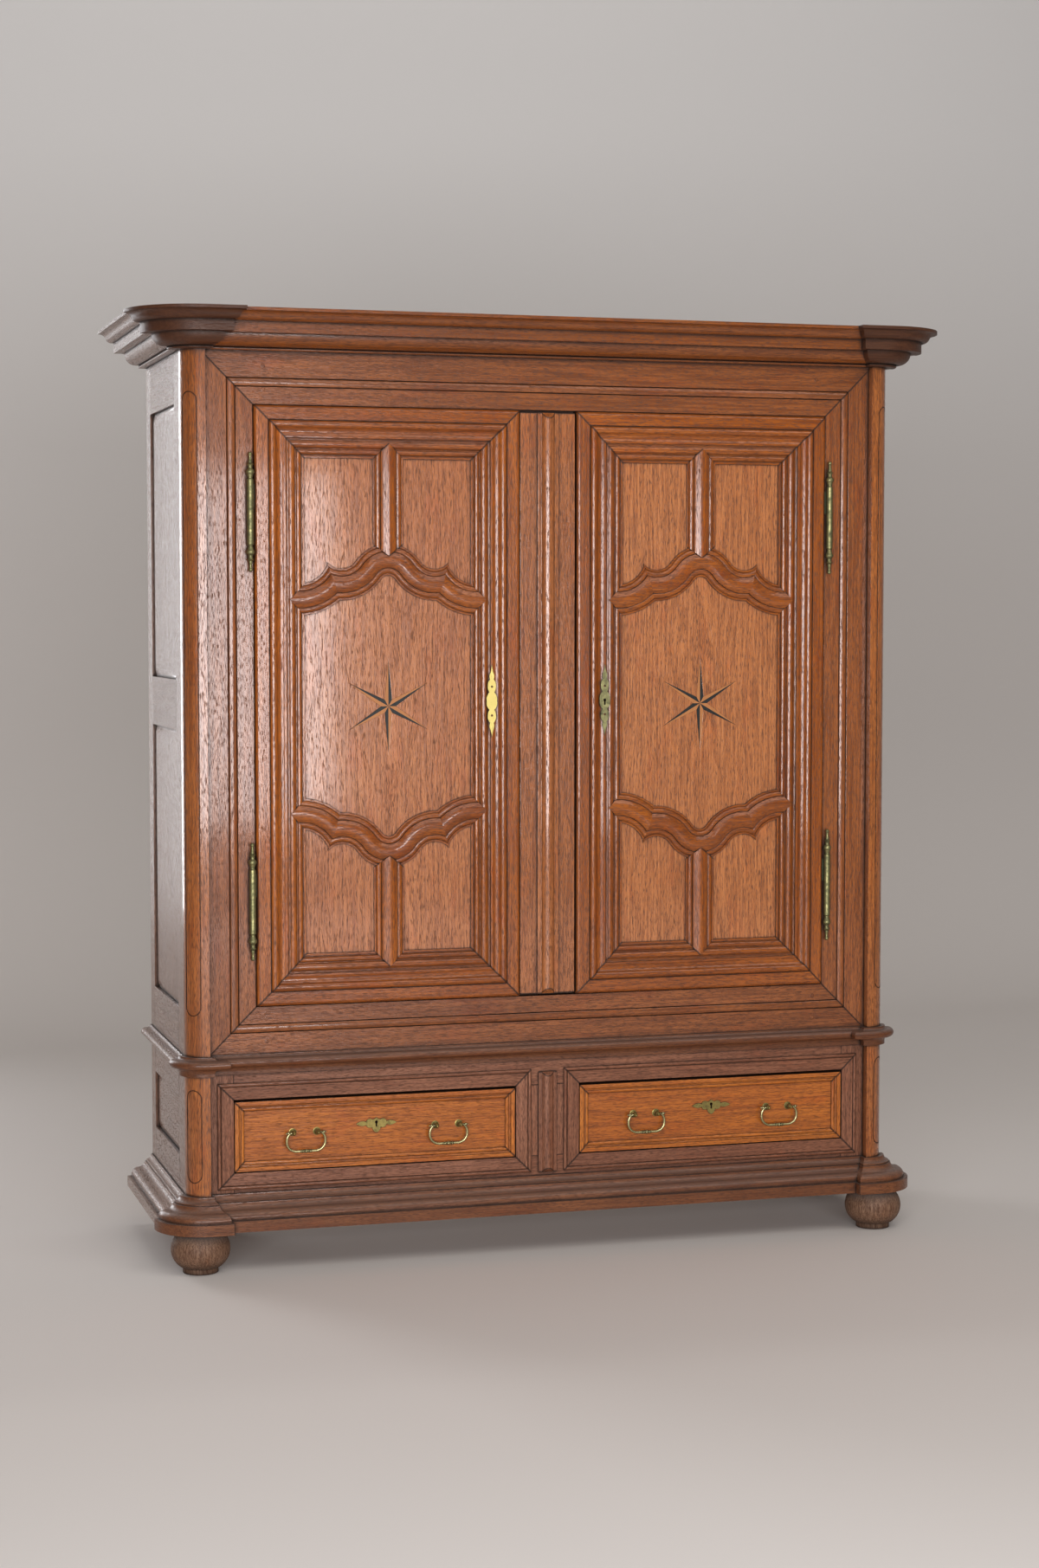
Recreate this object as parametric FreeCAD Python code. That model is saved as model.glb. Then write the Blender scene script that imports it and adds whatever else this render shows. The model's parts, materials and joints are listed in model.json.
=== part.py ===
import FreeCAD, Part
import math
import os

# Hall cupboard in oak: two panelled doors over two drawers, quarter-round corners, bun feet.
# Millimetres, +X to the right, +Y to the back, +Z up, origin on the floor under the middle.
# A profile's steps are (out, up) or (out, up, bulge), where the bulge is the arc's rise to the left.

# Carcase
BODY_HALF_WIDTH = 846.0
BODY_DEPTH = 512.0
BASE_HEIGHT = 272.0
UPPER_HEIGHT = 1574.0
COLUMN_R = 51.0
COLUMN_STEP = 24.0
SIDE_T = 27.0
BACK_T = 18.0
BOARD_T = 22.0
SHELF_T = 20.0
SHELF_COUNT = 2
SHELF_SET_BACK = 75.0
BATTEN = 24.0
BACK_BOARD_COUNT = 8
TOP_BOARD_COUNT = 3
BOARD_CHAMFER = 2.0

# Cornice, from the bottom up: bead, ovolo, fascia, cyma, top fillet
CORNICE_BEAD_OUT = 15.0
CORNICE_BEAD_H = 7.0
CORNICE_OVOLO_IN = 21.0
CORNICE_OVOLO_OUT = 52.0
CORNICE_OVOLO_H = 27.0
CORNICE_OVOLO_BULGE = 9.0
CORNICE_FASCIA_OUT = 77.0
CORNICE_FASCIA_H = 24.0
CORNICE_CYMA_IN = 81.0
CORNICE_CYMA_OUT = 111.0
CORNICE_CYMA_H = 20.0
CORNICE_CYMA_BULGE = 3.0
CORNICE_TOP_OUT = 114.0
CORNICE_TOP_H = 7.0
CORNICE_RETURN = 70.0

# Waist moulding, from the bottom up: fillet, cove, torus, cove
WAIST_FILLET_OUT = 4.0
WAIST_FILLET_H = 5.0
WAIST_COVE_OUT = 10.0
WAIST_COVE_H = 13.0
WAIST_COVE_BULGE = 2.0
WAIST_TORUS_IN = 16.0
WAIST_TORUS_H = 19.0
WAIST_TORUS_BULGE = 9.5
WAIST_TOP_OUT = 11.0
WAIST_TOP_H = 7.0
WAIST_RETURN = 24.0

# Plinth, from the bottom up: board, fillet, cyma, fillet, cove
PLINTH_BOARD_OUT = 62.0
PLINTH_BOARD_H = 25.0
PLINTH_FILLET_OUT = 52.0
PLINTH_FILLET_H = 6.0
PLINTH_CYMA_OUT = 20.0
PLINTH_CYMA_H = 28.0
PLINTH_CYMA_BULGE = 4.0
PLINTH_TOP_OUT = 16.0
PLINTH_TOP_H = 4.0
PLINTH_COVE_OUT = 4.0
PLINTH_COVE_H = 13.0
PLINTH_COVE_BULGE = 3.0
PLINTH_RETURN = 39.0

# The corner blocks' returns end this far past the column, before their own profile
RETURN_LEAST = 4.0
CORNER_PROUD = 8.0

# Bun feet
FOOT_DISC_R = 40.0
FOOT_DISC_H = 14.0
FOOT_BALL_R = 67.0
FOOT_BALL_H = 80.0
FOOT_NECK_R = 45.0
FOOT_TENON_R = 16.0
FOOT_TENON_H = 20.0
FOOT_IN_FROM_SIDE = 28.0
FOOT_OUT_FROM_FRONT = 12.0
BACK_FOOT_IN_FROM_SIDE = 68.0
BACK_FOOT_IN_FROM_BACK = 85.0

# Incised outline on the columns
FLUTE_HALF_ANGLE = 24.0
FLUTE_LINE = 2.6
FLUTE_DEPTH = 1.6
FLUTE_END_GAP = 92.0
BASE_FLUTE_END_GAP = 30.0

# Front frame of the upper carcase
STILE_W = 109.0
TOP_RAIL_W = 117.0
BOTTOM_RAIL_W = 106.0
FRAME_GROOVE = 2.6
FRAME_BEAD_IN = 38.0
FRAME_BEAD_W = 16.0
FRAME_BEAD_RISE = 2.0
PEG_R = 4.5
PEG_IN = 24.0
PEG_SPACING = 52.0
STOP_REACH = 12.0
STOP_D = 18.0
STOP_H = 18.0
STOP_CLEAR = 0.3

# Doors
DOOR_GAP = 1.5
DOOR_BACK = 21.0
PANEL_SET = 6.0
PANEL_T = 10.0
PANEL_TONGUE = 10.0

# Door moulding, from the field outwards: fillet, bead, ogee, arris, hollow, round, flat, rounded edge
FIELD_FILLET_W = 5.0
FIELD_FILLET_RISE = 3.0
QUIRK_W = 2.0
QUIRK_DEPTH = 1.0
DOOR_BEAD_W = 12.0
DOOR_BEAD_RISE = 2.0
DOOR_BEAD_BULGE = 4.0
OGEE_SWELL_W = 14.0
OGEE_SWELL_BULGE = 3.0
OGEE_DIP_W = 9.0
OGEE_DIP_BULGE = 1.6
OGEE_BELOW = 5.0
OGEE_FALL = 0.5
ARRIS_W = 5.0
ARRIS_BELOW = 1.0
HOLLOW_W = 17.0
HOLLOW_BULGE = 3.4
ROUND_W = 16.0
ROUND_BULGE = 5.0
ROUND_RISE = 2.0
ROUND_FALL = 1.5
DOOR_FLAT_W = 23.0
DOOR_EDGE_W = 8.0
DOOR_EDGE_BULGE = 2.2
DOOR_PROUD = 9.0

# Planted bars on the door panels; the cross bars' curve is drawn at these sizes and fitted to the field
BAR_HALF_W = 35.0
BAR_FILLET_W = 4.0
BAR_FILLET_RISE = 2.5
BAR_QUIRK = 1.0
BAR_BEAD_W = 13.0
BAR_BEAD_RISE = 2.0
BAR_BEAD_BULGE = 3.0
BAR_ROUND_RISE = 6.5
BAR_ROUND_BULGE = 6.0
CREST_OFFSET = 332.0
CREST_R = 55.0
DIP_R = 78.0
LOBE_R = 105.0
CREST_SLOPE = 54.9
CUSP_SLOPE = 12.6
LOBE_SLOPE = 48.9
LOBE_PAST_FIELD = 11.5
CREST_NOTCH = 27.0

# Star inlay
STAR_RAYS = 6
STAR_LENGTH = 104.0
STAR_WAIST_R = 17.0
STAR_DEPTH = 1.5

# Meeting strip on the left door
STRIP_W = 131.0
STRIP_GAP = 4.0
STRIP_PROUD = 6.0
STRIP_BACK = 19.0
STRIP_SHORT = 5.0
STRIP_BAR_W = 50.0
STRIP_BAR_STEP = 10.0
STRIP_BAR_STEP_RISE = 5.0
STRIP_BAR_RISE = 16.0

# Hinges; the tip's steps are (radius, distance past the barrel), and a ball ends it
HINGE_OUT = 8.0
HINGE_PROUD = 10.0
HINGE_BARREL_R = 7.6
HINGE_BARREL_L = 144.0
HINGE_TIP = [(5.5, 5.0, 1.0), (7.4, 12.0), (7.4, 22.0, -2.0), (5.5, 24.0), (7.6, 34.0, 1.5),
             (4.4, 37.0), (4.4, 41.0), (3.3, 53.0, 0.8)]
HINGE_TIP_BALL_R = 4.6
HINGE_PIN_R = 3.5
HINGE_PIN_L = 55.0
HINGE_CLEAR = 0.05
HINGE_SPLIT = 0.2
HINGE_LEAF_T = 3.0
HINGE_LEAF_L = 52.0
HINGE_LEAF_DEPTH = 20.0
HINGE_LEAF_CLEAR = 0.4
HINGE_FROM_DOOR_END = 238.0

# Door key plates, as the right half of the outline from the top tip down
DOOR_PLATE = [(0.0, 83.0), (5.4, 60.0, -1.0), (3.8, 50.0, 1.0), (9.6, 33.0, 2.2), (5.4, 20.0, 1.2),
              (12.0, 0.0, 3.0), (5.4, -20.0, 3.0), (9.6, -33.0, 1.2), (3.8, -50.0, 2.2),
              (5.4, -60.0, 1.0), (0.0, -83.0, -1.0)]
DOOR_PLATE_EYE_R = 2.7
DOOR_PLATE_EYE_Z = 33.0
DOOR_PLATE_Z = 10.0
PLATE_T = 1.6
KEYHOLE_R = 3.4
KEYHOLE_DROP = 11.0
KEYHOLE_SLOT = 3.4

# Lock and bolt
LOCK_IN = 4.0
LOCK_W = 76.0
LOCK_H = 130.0
LOCK_T = 18.0
LOCK_EDGE_R = 3.0
BOLT_W = 14.0
BOLT_T = 6.0
BOLT_L = 130.0
BOLT_CLEAR = 0.3
BOLT_PLATE_T = 7.5
BOLT_PLATE_W = 44.0
BOLT_PLATE_L = 110.0
BOLT_STAPLE_H = 14.0
BOLT_STAPLE_T = 4.0
BOLT_KNOB_R = 6.0
BOLT_KNOB_H = 14.0
BOLT_TRAVEL = 22.0
BOLT_FROM_EDGE = 46.0
BOLT_SLOT_W = 29.0

# Base front
DRAWER_STILE_W = 56.0
CENTRE_STILE_W = 153.0
DRAWER_TOP_RAIL_W = 58.0
DRAWER_BOTTOM_RAIL_W = 46.0
SURROUND_W = 37.0
SURROUND_RISE = 4.0
SURROUND_FALL = 1.0
SURROUND_QUIRK = 2.0
SURROUND_BEAD_W = 8.0
SURROUND_BEAD_BULGE = 2.4
CENTRE_BAR_W = 44.0
CENTRE_BAR_UP = 8.0
CENTRE_BAR_DOWN = 28.0
CENTRE_BAR_STEP = 8.0
CENTRE_BAR_STEP_RISE = 4.0
CENTRE_BAR_RISE = 12.0

# Drawers
DRAWER_GAP = 2.5
DRAWER_TOP_GAP = 6.5
DRAWER_RUN_GAP = 0.3
DRAWER_FRONT_T = 20.0
DRAWER_FRONT_SET = 5.0
DRAWER_EDGE_W = 22.0
DRAWER_EDGE_RISE = 7.0
DRAWER_BAND_W = 9.0
DRAWER_LIP_RISE = 1.6
DRAWER_OVOLO_W = 6.5
DRAWER_OVOLO_RISE = 3.9
DRAWER_OVOLO_BULGE = 1.2
DRAWER_QUIRK = 1.2
DRAWER_COVE_RISE = 5.2
DRAWER_COVE_BULGE = 1.0
DRAWER_SIDE_T = 12.0
DRAWER_SIDE_DROP = 12.0
DRAWER_BACK_GAP = 49.0
DRAWER_BOTTOM_T = 8.0
DRAWER_BOTTOM_UP = 8.0
DRAWER_BOTTOM_TONGUE = 5.0
RUNNER_W = 24.0
RUNNER_H = 26.0
GUIDE_T = 12.0
GUIDE_H = 34.0
DRAWER_LOCK_W = 80.0
DRAWER_LOCK_H = 70.0
DRAWER_LOCK_T = 14.0
DRAWER_PLATE = [(0.0, 13.0), (9.4, 8.0, -1.0), (17.0, 9.8, 1.0), (23.5, 2.6, 2.0), (34.0, 5.2, 1.0),
                (47.0, 0.0, 1.0), (34.0, -5.2, 1.0), (23.5, -2.6, 1.0), (17.0, -9.8, 2.0),
                (9.4, -8.0, 1.0), (6.6, -16.8, 1.0), (0.0, -21.0, 1.0)]
DRAWER_PLATE_UP = 13.0
DRAWER_KEYHOLE_UP = 2.6

# Bail handles
BAIL_SPACING = 334.0
BAIL_UP = 2.0
BAIL_POST_X = 28.0
BAIL_PROUD = 15.0
BAIL_PIN_R = 2.4
BAIL_CLEAR = 0.05
BAIL_WIRE_R = 3.0
BAIL_HALF_W = 44.5
BAIL_CORNER_R = 14.5
BAIL_LEAN = 6.0
BAIL_DROP = 42.0
BAIL_KNUCKLE_R = 4.3
BAIL_BEAD_R = 5.4
BAIL_SIDE_BEAD_R = 4.3
BAIL_BEAD_GAP = 9.0
POST_ROSE_R = 9.0
POST_ROSE_TOP_R = 5.4
POST_ROSE_T = 2.0
POST_ROSE_BULGE = 0.5
POST_R = 3.6
POST_NECK_H = 1.5
POST_KNOB_R = 5.0
POST_KNOB_IN = 4.0
POST_KNOB_OUT = 5.5
POST_KNOB_BULGE = 1.3
POST_BUTTON_R = 2.4
POST_BALL_R = 3.2

# Side frames and panels
SIDE_FRONT_STILE_W = 72.0
SIDE_BACK_STILE_W = 58.0
SIDE_TOP_RAIL_W = 113.0
SIDE_MID_RAIL_W = 114.0
SIDE_BOTTOM_RAIL_W = 100.0
SIDE_MID_RAIL_UP = 729.0
BASE_SIDE_TOP_RAIL_W = 62.0
BASE_SIDE_BOTTOM_RAIL_W = 76.0
SIDE_PANEL_SET = 10.0
SIDE_PANEL_EDGE_T = 8.0
SIDE_PANEL_TONGUE = 9.0
SIDE_FIELD_MARGIN = 22.0
SIDE_FIELD_RISE = 5.0

# Cutting tools reach this far past what they cut, in millimetres and in degrees
OVERRUN = 40.0
ARC_OVERRUN = 40.0
TINY = 1e-6

# Worked out from the driving sizes
V = FreeCAD.Vector
UP = V(0, 0, 1)
ACROSS = V(1, 0, 0)
INWARD = V(0, 1, 0)
SIDES = (-1, 1)
NAMES = ("left", "right")

WAIST_H = WAIST_FILLET_H + WAIST_COVE_H + WAIST_TORUS_H + WAIST_TOP_H
PLINTH_H = PLINTH_BOARD_H + PLINTH_FILLET_H + PLINTH_CYMA_H + PLINTH_TOP_H + PLINTH_COVE_H
Z_PLINTH = FOOT_DISC_H + FOOT_BALL_H
Z_BASE = Z_PLINTH + PLINTH_H
Z_WAIST = Z_BASE + BASE_HEIGHT
Z_UPPER = Z_WAIST + WAIST_H
Z_CORNICE = Z_UPPER + UPPER_HEIGHT
FRAME_T = COLUMN_R - COLUMN_STEP
FRONT = (COLUMN_STEP + CORNICE_TOP_OUT - BODY_DEPTH) / 2
BACK = FRONT + BODY_DEPTH
COLUMN_X = BODY_HALF_WIDTH - COLUMN_R
COLUMN_Y = FRONT + FRAME_T
INSIDE_X = BODY_HALF_WIDTH - SIDE_T
INSIDE_BACK = BACK - BACK_T

OPENING_X = COLUMN_X - STILE_W
OPENING_Z0 = Z_UPPER + BOTTOM_RAIL_W
OPENING_Z1 = Z_CORNICE - TOP_RAIL_W
DOOR_X = OPENING_X - DOOR_GAP
DOOR_INNER_X = (STRIP_W + STRIP_GAP) / 2
DOOR_Z0 = OPENING_Z0 + DOOR_GAP
DOOR_Z1 = OPENING_Z1 - DOOR_GAP
DOOR_MID_X = (DOOR_X + DOOR_INNER_X) / 2
DOOR_MID_Z = (DOOR_Z0 + DOOR_Z1) / 2
OGEE_W = OGEE_SWELL_W + OGEE_DIP_W
ARRIS_IN = FIELD_FILLET_W + DOOR_BEAD_W + 2 * QUIRK_W + OGEE_W
FLAT_IN = ARRIS_IN + ARRIS_W + HOLLOW_W + ROUND_W + QUIRK_W
DOOR_FRAME_W = FLAT_IN + DOOR_FLAT_W + DOOR_EDGE_W
FIELD_HALF = (DOOR_X - DOOR_INNER_X) / 2 - DOOR_FRAME_W
FIELD_Z0 = DOOR_Z0 + DOOR_FRAME_W
FIELD_Z1 = DOOR_Z1 - DOOR_FRAME_W
PANEL_Y = FRONT + PANEL_SET
HINGE_X = OPENING_X + HINGE_OUT
HINGE_Y = FRONT - HINGE_PROUD
HINGE_HEIGHTS = (DOOR_Z0 + HINGE_FROM_DOOR_END, DOOR_Z1 - HINGE_FROM_DOOR_END)
DOOR_PLATE_X = DOOR_MID_X - FIELD_HALF - ARRIS_IN - ARRIS_W / 2
BOLT_X = -DOOR_INNER_X - BOLT_FROM_EDGE
BOLT_Y0 = FRONT + DOOR_BACK + BOLT_PLATE_T + BOLT_CLEAR
BOLT_Y1 = BOLT_Y0 + BOLT_T
BOLT_TOP = OPENING_Z1 - STOP_REACH - BOLT_CLEAR

SLOPE = math.radians(CREST_SLOPE)
CUSP = math.radians(CUSP_SLOPE)
LOBE = math.radians(LOBE_SLOPE)
CURVE_RUN = (CREST_R + DIP_R) * math.sin(SLOPE) + DIP_R * math.sin(CUSP) + LOBE_R * math.sin(LOBE)
CURVE_FIT = (FIELD_HALF + LOBE_PAST_FIELD) / CURVE_RUN
CREST_BEND = CREST_R * CURVE_FIT
DIP_BEND = DIP_R * CURVE_FIT
LOBE_BEND = LOBE_R * CURVE_FIT
DIP_X = (CREST_BEND + DIP_BEND) * math.sin(SLOPE)
DIP_Z = DIP_BEND - (CREST_BEND + DIP_BEND) * (1 - math.cos(SLOPE))
CUSP_X = DIP_X + DIP_BEND * math.sin(CUSP)
CUSP_Z = DIP_Z - DIP_BEND * math.cos(CUSP)
LOBE_X = CUSP_X + LOBE_BEND * math.sin(LOBE)
LOBE_Z = CUSP_Z - LOBE_BEND * (1 - math.cos(LOBE))

DRAWER_X0 = CENTRE_STILE_W / 2
DRAWER_X1 = COLUMN_X - DRAWER_STILE_W
DRAWER_Z0 = Z_BASE + DRAWER_BOTTOM_RAIL_W
DRAWER_Z1 = Z_WAIST - DRAWER_TOP_RAIL_W
DRAWER_MID_X = (DRAWER_X0 + DRAWER_X1) / 2
DRAWER_MID_Z = (DRAWER_Z0 + DRAWER_Z1) / 2
DRAWER_FACE_Y = FRONT + DRAWER_FRONT_SET
RUNNER_TOP = DRAWER_Z0 + DRAWER_GAP - DRAWER_RUN_GAP


def face(steps, place):
    """Close a profile's steps into a face, with place turning (out, up) into a point."""
    edges = []
    before = steps[-1]
    for step in steps:
        run = step[0] - before[0]
        rise = step[1] - before[1]
        length = math.hypot(run, rise)
        if length < TINY:
            continue
        start = place(before[0], before[1])
        end = place(step[0], step[1])
        if len(step) == 3:
            mid = place((step[0] + before[0]) / 2 - rise / length * step[2],
                        (step[1] + before[1]) / 2 + run / length * step[2])
            edges.append(Part.Arc(start, mid, end).toShape())
        else:
            edges.append(Part.makeLine(start, end))
        before = step
    return Part.Face(Part.Wire(edges))


def box(x0, x1, y0, y1, z0, z1):
    """A box between two corners; x0 and x1 come in either order."""
    return Part.makeBox(abs(x1 - x0), y1 - y0, z1 - z0, V(min(x0, x1), y0, z0))


def plate(steps, y0, y1):
    """A flat outline in X and Z, from y0 back to y1."""
    return face(steps, lambda x, z: V(x, y0, z)).extrude(INWARD * (y1 - y0))


def turned(steps, x, y, z):
    """Steps of (radius, height) spun about an upright axis."""
    return face(steps, lambda r, h: V(x + r, y, z + h)).revolve(V(x, y, z), UP, 360)


def ball_end(neck, height, radius):
    """The last step of a turned profile: a ball on the axis, standing on a neck of the given radius."""
    rise = radius + math.sqrt(radius * radius - neck * neck)
    chord = math.hypot(neck, rise)
    return (0, height + rise, math.sqrt(radius * radius - chord * chord / 4) - radius)


def joined(shapes):
    return shapes[0].fuse(shapes[1:]).removeSplitter().Solids[0]


def largest(shape):
    return max(shape.Solids, key=lambda solid: solid.Volume)


def less(shape, tools):
    """What is left of a shape when tools are cut out of it."""
    result = shape
    for tool in tools:
        result = result.cut(tool)
    return largest(result)


def moved(steps, x, z):
    return [(x + step[0], z + step[1]) + step[2:] for step in steps]


def mirrored(half):
    """A whole outline from its right half, which runs from the top of the middle line to the bottom."""
    left = []
    for i in range(len(half) - 1, 0, -1):
        bulge = half[i][2:]
        left.append((-half[i - 1][0], half[i - 1][1]) + bulge)
    return half[1:] + left


def write(name, solids):
    Part.makeCompound(solids).exportStep("parts/" + name + ".step")


# Mouldings that run across the front, round the columns and along the sides

def cornice_steps():
    ovolo = CORNICE_BEAD_H + CORNICE_OVOLO_H
    fascia = ovolo + CORNICE_FASCIA_H
    cyma = fascia + CORNICE_CYMA_H
    middle = (CORNICE_CYMA_IN + CORNICE_CYMA_OUT) / 2
    return [(CORNICE_BEAD_OUT, 0), (CORNICE_BEAD_OUT, CORNICE_BEAD_H, -CORNICE_BEAD_H / 2),
            (CORNICE_OVOLO_IN, CORNICE_BEAD_H), (CORNICE_OVOLO_OUT, ovolo, -CORNICE_OVOLO_BULGE),
            (CORNICE_FASCIA_OUT, ovolo), (CORNICE_FASCIA_OUT, fascia), (CORNICE_CYMA_IN, fascia),
            (middle, fascia + CORNICE_CYMA_H / 2, -CORNICE_CYMA_BULGE),
            (CORNICE_CYMA_OUT, cyma, CORNICE_CYMA_BULGE),
            (CORNICE_TOP_OUT, cyma), (CORNICE_TOP_OUT, cyma + CORNICE_TOP_H)]


def waist_steps():
    cove = WAIST_FILLET_H + WAIST_COVE_H
    torus = cove + WAIST_TORUS_H
    return [(WAIST_FILLET_OUT, 0), (WAIST_FILLET_OUT, WAIST_FILLET_H),
            (WAIST_COVE_OUT, cove, WAIST_COVE_BULGE),
            (WAIST_TORUS_IN, cove), (WAIST_TORUS_IN, torus, -WAIST_TORUS_BULGE),
            (WAIST_TOP_OUT, torus), (WAIST_FILLET_OUT, torus + WAIST_TOP_H, WAIST_COVE_BULGE)]


def plinth_steps():
    fillet = PLINTH_BOARD_H + PLINTH_FILLET_H
    cyma = fillet + PLINTH_CYMA_H
    top = cyma + PLINTH_TOP_H
    middle = (PLINTH_FILLET_OUT + PLINTH_CYMA_OUT) / 2
    return [(PLINTH_BOARD_OUT, 0), (PLINTH_BOARD_OUT, PLINTH_BOARD_H),
            (PLINTH_FILLET_OUT, PLINTH_BOARD_H), (PLINTH_FILLET_OUT, fillet),
            (middle, fillet + PLINTH_CYMA_H / 2, -PLINTH_CYMA_BULGE),
            (PLINTH_CYMA_OUT, cyma, PLINTH_CYMA_BULGE), (PLINTH_TOP_OUT, cyma), (PLINTH_TOP_OUT, top),
            (PLINTH_COVE_OUT, top + PLINTH_COVE_H, PLINTH_COVE_BULGE)]


def backed(steps, depth):
    """A moulding's steps closed behind the face at a depth."""
    return steps + [(-depth, steps[-1][1]), (-depth, steps[0][1])]


def corner_block(steps, z, side, return_run):
    """The moulding turned a quarter round the column, proud of the side, with a return on the front."""
    x = side * (COLUMN_X + CORNER_PROUD)
    least = RETURN_LEAST + CORNER_PROUD
    widest = max(step[0] for step in steps)
    share = return_run / widest
    solid = backed(steps, COLUMN_R)
    turn = face(solid, lambda out, up: V(x + side * (COLUMN_R + out), COLUMN_Y, z + up))
    turn = turn.revolve(V(x, COLUMN_Y, z), UP, -90 * side)
    along = face(solid, lambda out, up: V(x, COLUMN_Y - COLUMN_R - out, z + up))
    along = along.extrude(ACROSS * (-side * (return_run + least + OVERRUN)))
    across = [(step[0] * share + least, step[1]) + tuple(bulge * share for bulge in step[2:])
              for step in steps]
    front = COLUMN_Y - COLUMN_R - widest - OVERRUN
    end = face(backed(across, 0), lambda run, up: V(x - side * run, front, z + up))
    end = end.extrude(INWARD * (COLUMN_Y + OVERRUN - front))
    return joined([turn, along.common(end)])


def moulding_round(steps, z, return_run):
    """The front length, both corner blocks and both side lengths of a moulding."""
    corners = [corner_block(steps, z, side, return_run) for side in SIDES]
    front = face(backed(steps, FRAME_T), lambda out, up: V(-COLUMN_X, FRONT - out, z + up))
    front = less(front.extrude(ACROSS * (2 * COLUMN_X)), corners)
    runs = []
    for side in SIDES:
        run = face(backed(steps, SIDE_T),
                   lambda out, up: V(side * (BODY_HALF_WIDTH + out), COLUMN_Y, z + up))
        runs.append(run.extrude(INWARD * (BACK - COLUMN_Y)))
    return front, corners, runs


def mitred_frame(inner, widths, steps, y):
    """Left, right, bottom and top members round an opening, mitred from its corners.

    steps gives (distance out from the opening, height towards the viewer) for a member's width."""
    x0, x1, z0, z1 = inner
    left, right, bottom, top = widths
    reach = max(widths) + OVERRUN
    near = y - OVERRUN
    far = y + FRAME_T + OVERRUN
    members = []
    for width, edge, sign in ((left, x0, -1), (right, x1, 1)):
        run = face(steps(width), lambda d, h: V(edge + sign * d, y - h, z0 - bottom))
        run = run.extrude(UP * (z1 + top - z0 + bottom))
        out = edge + sign * reach
        wedge = plate([(edge, z0), (edge, z1), (out, z1 + reach), (out, z0 - reach)], near, far)
        members.append(largest(run.common(wedge)))
    for width, edge, sign in ((bottom, z0, -1), (top, z1, 1)):
        run = face(steps(width), lambda d, h: V(x0 - left, y - h, edge + sign * d))
        run = run.extrude(ACROSS * (x1 + right - x0 + left))
        out = edge + sign * reach
        wedge = plate([(x0, edge), (x1, edge), (x1 + reach, out), (x0 - reach, out)], near, far)
        members.append(largest(run.common(wedge)))
    return members


def hipped_bar(x, z0, z1, y, width, step, step_rise, rise):
    """An upright bar with a flat step each side of a round, and both ends hipped back."""
    w = width / 2
    inner = w - step
    steps = [(-w, 0), (-w, step_rise), (-inner, step_rise), (inner, step_rise, rise - step_rise),
             (w, step_rise), (w, 0)]
    bar = face(steps, lambda d, h: V(x + d, y - h, z0)).extrude(UP * (z1 - z0))
    near = y - step_rise
    hips = []
    for end, way in ((z0, -1), (z1, 1)):
        wedge = [(near, end), (near - OVERRUN, end), (near - OVERRUN, end - way * OVERRUN)]
        hips.append(face(wedge, lambda a, z: V(x - w, a, z)).extrude(ACROSS * width))
    return less(bar, hips)


# Carcase

def feet():
    """Turned balls on discs, each with a tenon into the plinth or the bottom board."""
    swell = FOOT_BALL_R - FOOT_NECK_R
    half = FOOT_BALL_H / 2
    arc_r = (swell * swell + half * half) / (2 * swell)
    bulge = arc_r - math.sqrt(arc_r * arc_r - (swell * swell + half * half) / 4)
    top = Z_PLINTH + FOOT_TENON_H
    steps = [(0, 0), (FOOT_DISC_R, 0), (FOOT_DISC_R, FOOT_DISC_H), (FOOT_NECK_R, FOOT_DISC_H),
             (FOOT_BALL_R, FOOT_DISC_H + half, -bulge), (FOOT_NECK_R, Z_PLINTH, -bulge),
             (FOOT_TENON_R, Z_PLINTH), (FOOT_TENON_R, top), (0, top)]
    front_x = BODY_HALF_WIDTH - FOOT_IN_FROM_SIDE
    back_x = BODY_HALF_WIDTH - BACK_FOOT_IN_FROM_SIDE
    places = [(side * front_x, FRONT - FOOT_OUT_FROM_FRONT) for side in SIDES]
    places += [(side * back_x, BACK - BACK_FOOT_IN_FROM_BACK) for side in SIDES]
    return [turned(steps, x, y, 0) for x, y in places]


def flute_outline(side, z0, z1, half):
    """A long outline with round ends, run out of the column's axis at 45 degrees."""
    along = V(side, -1, 0).normalize()
    across = V(side, 1, 0).normalize()
    start = V(side * COLUMN_X, COLUMN_Y, 0)
    steps = [(-half, z0 + half), (half, z0 + half, -half), (half, z1 - half), (-half, z1 - half, -half)]
    return face(steps, lambda a, z: start + across * a + UP * z).extrude(along * (COLUMN_R + OVERRUN))


def column(side, z0, z1, end_gap):
    """A quarter-round corner post with an incised line in the shape of a long panel."""
    x = side * COLUMN_X
    foot = V(x, COLUMN_Y, z0)
    corner = [(0, 0), (COLUMN_R, 0), (0, COLUMN_R, -COLUMN_R * (1 - math.cos(math.pi / 4)))]
    post = face(corner, lambda a, b: V(x + side * a, COLUMN_Y - b, z0)).extrude(UP * (z1 - z0))
    half = COLUMN_R * math.sin(math.radians(FLUTE_HALF_ANGLE))
    outer = flute_outline(side, z0 + end_gap, z1 - end_gap, half)
    inner = flute_outline(side, z0 + end_gap + FLUTE_LINE, z1 - end_gap - FLUTE_LINE, half - FLUTE_LINE)
    skin = Part.makeCylinder(COLUMN_R + OVERRUN, z1 - z0, foot)
    skin = skin.cut(Part.makeCylinder(COLUMN_R - FLUTE_DEPTH, z1 - z0, foot))
    return less(post, [outer.cut(inner).common(skin)])


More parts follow.
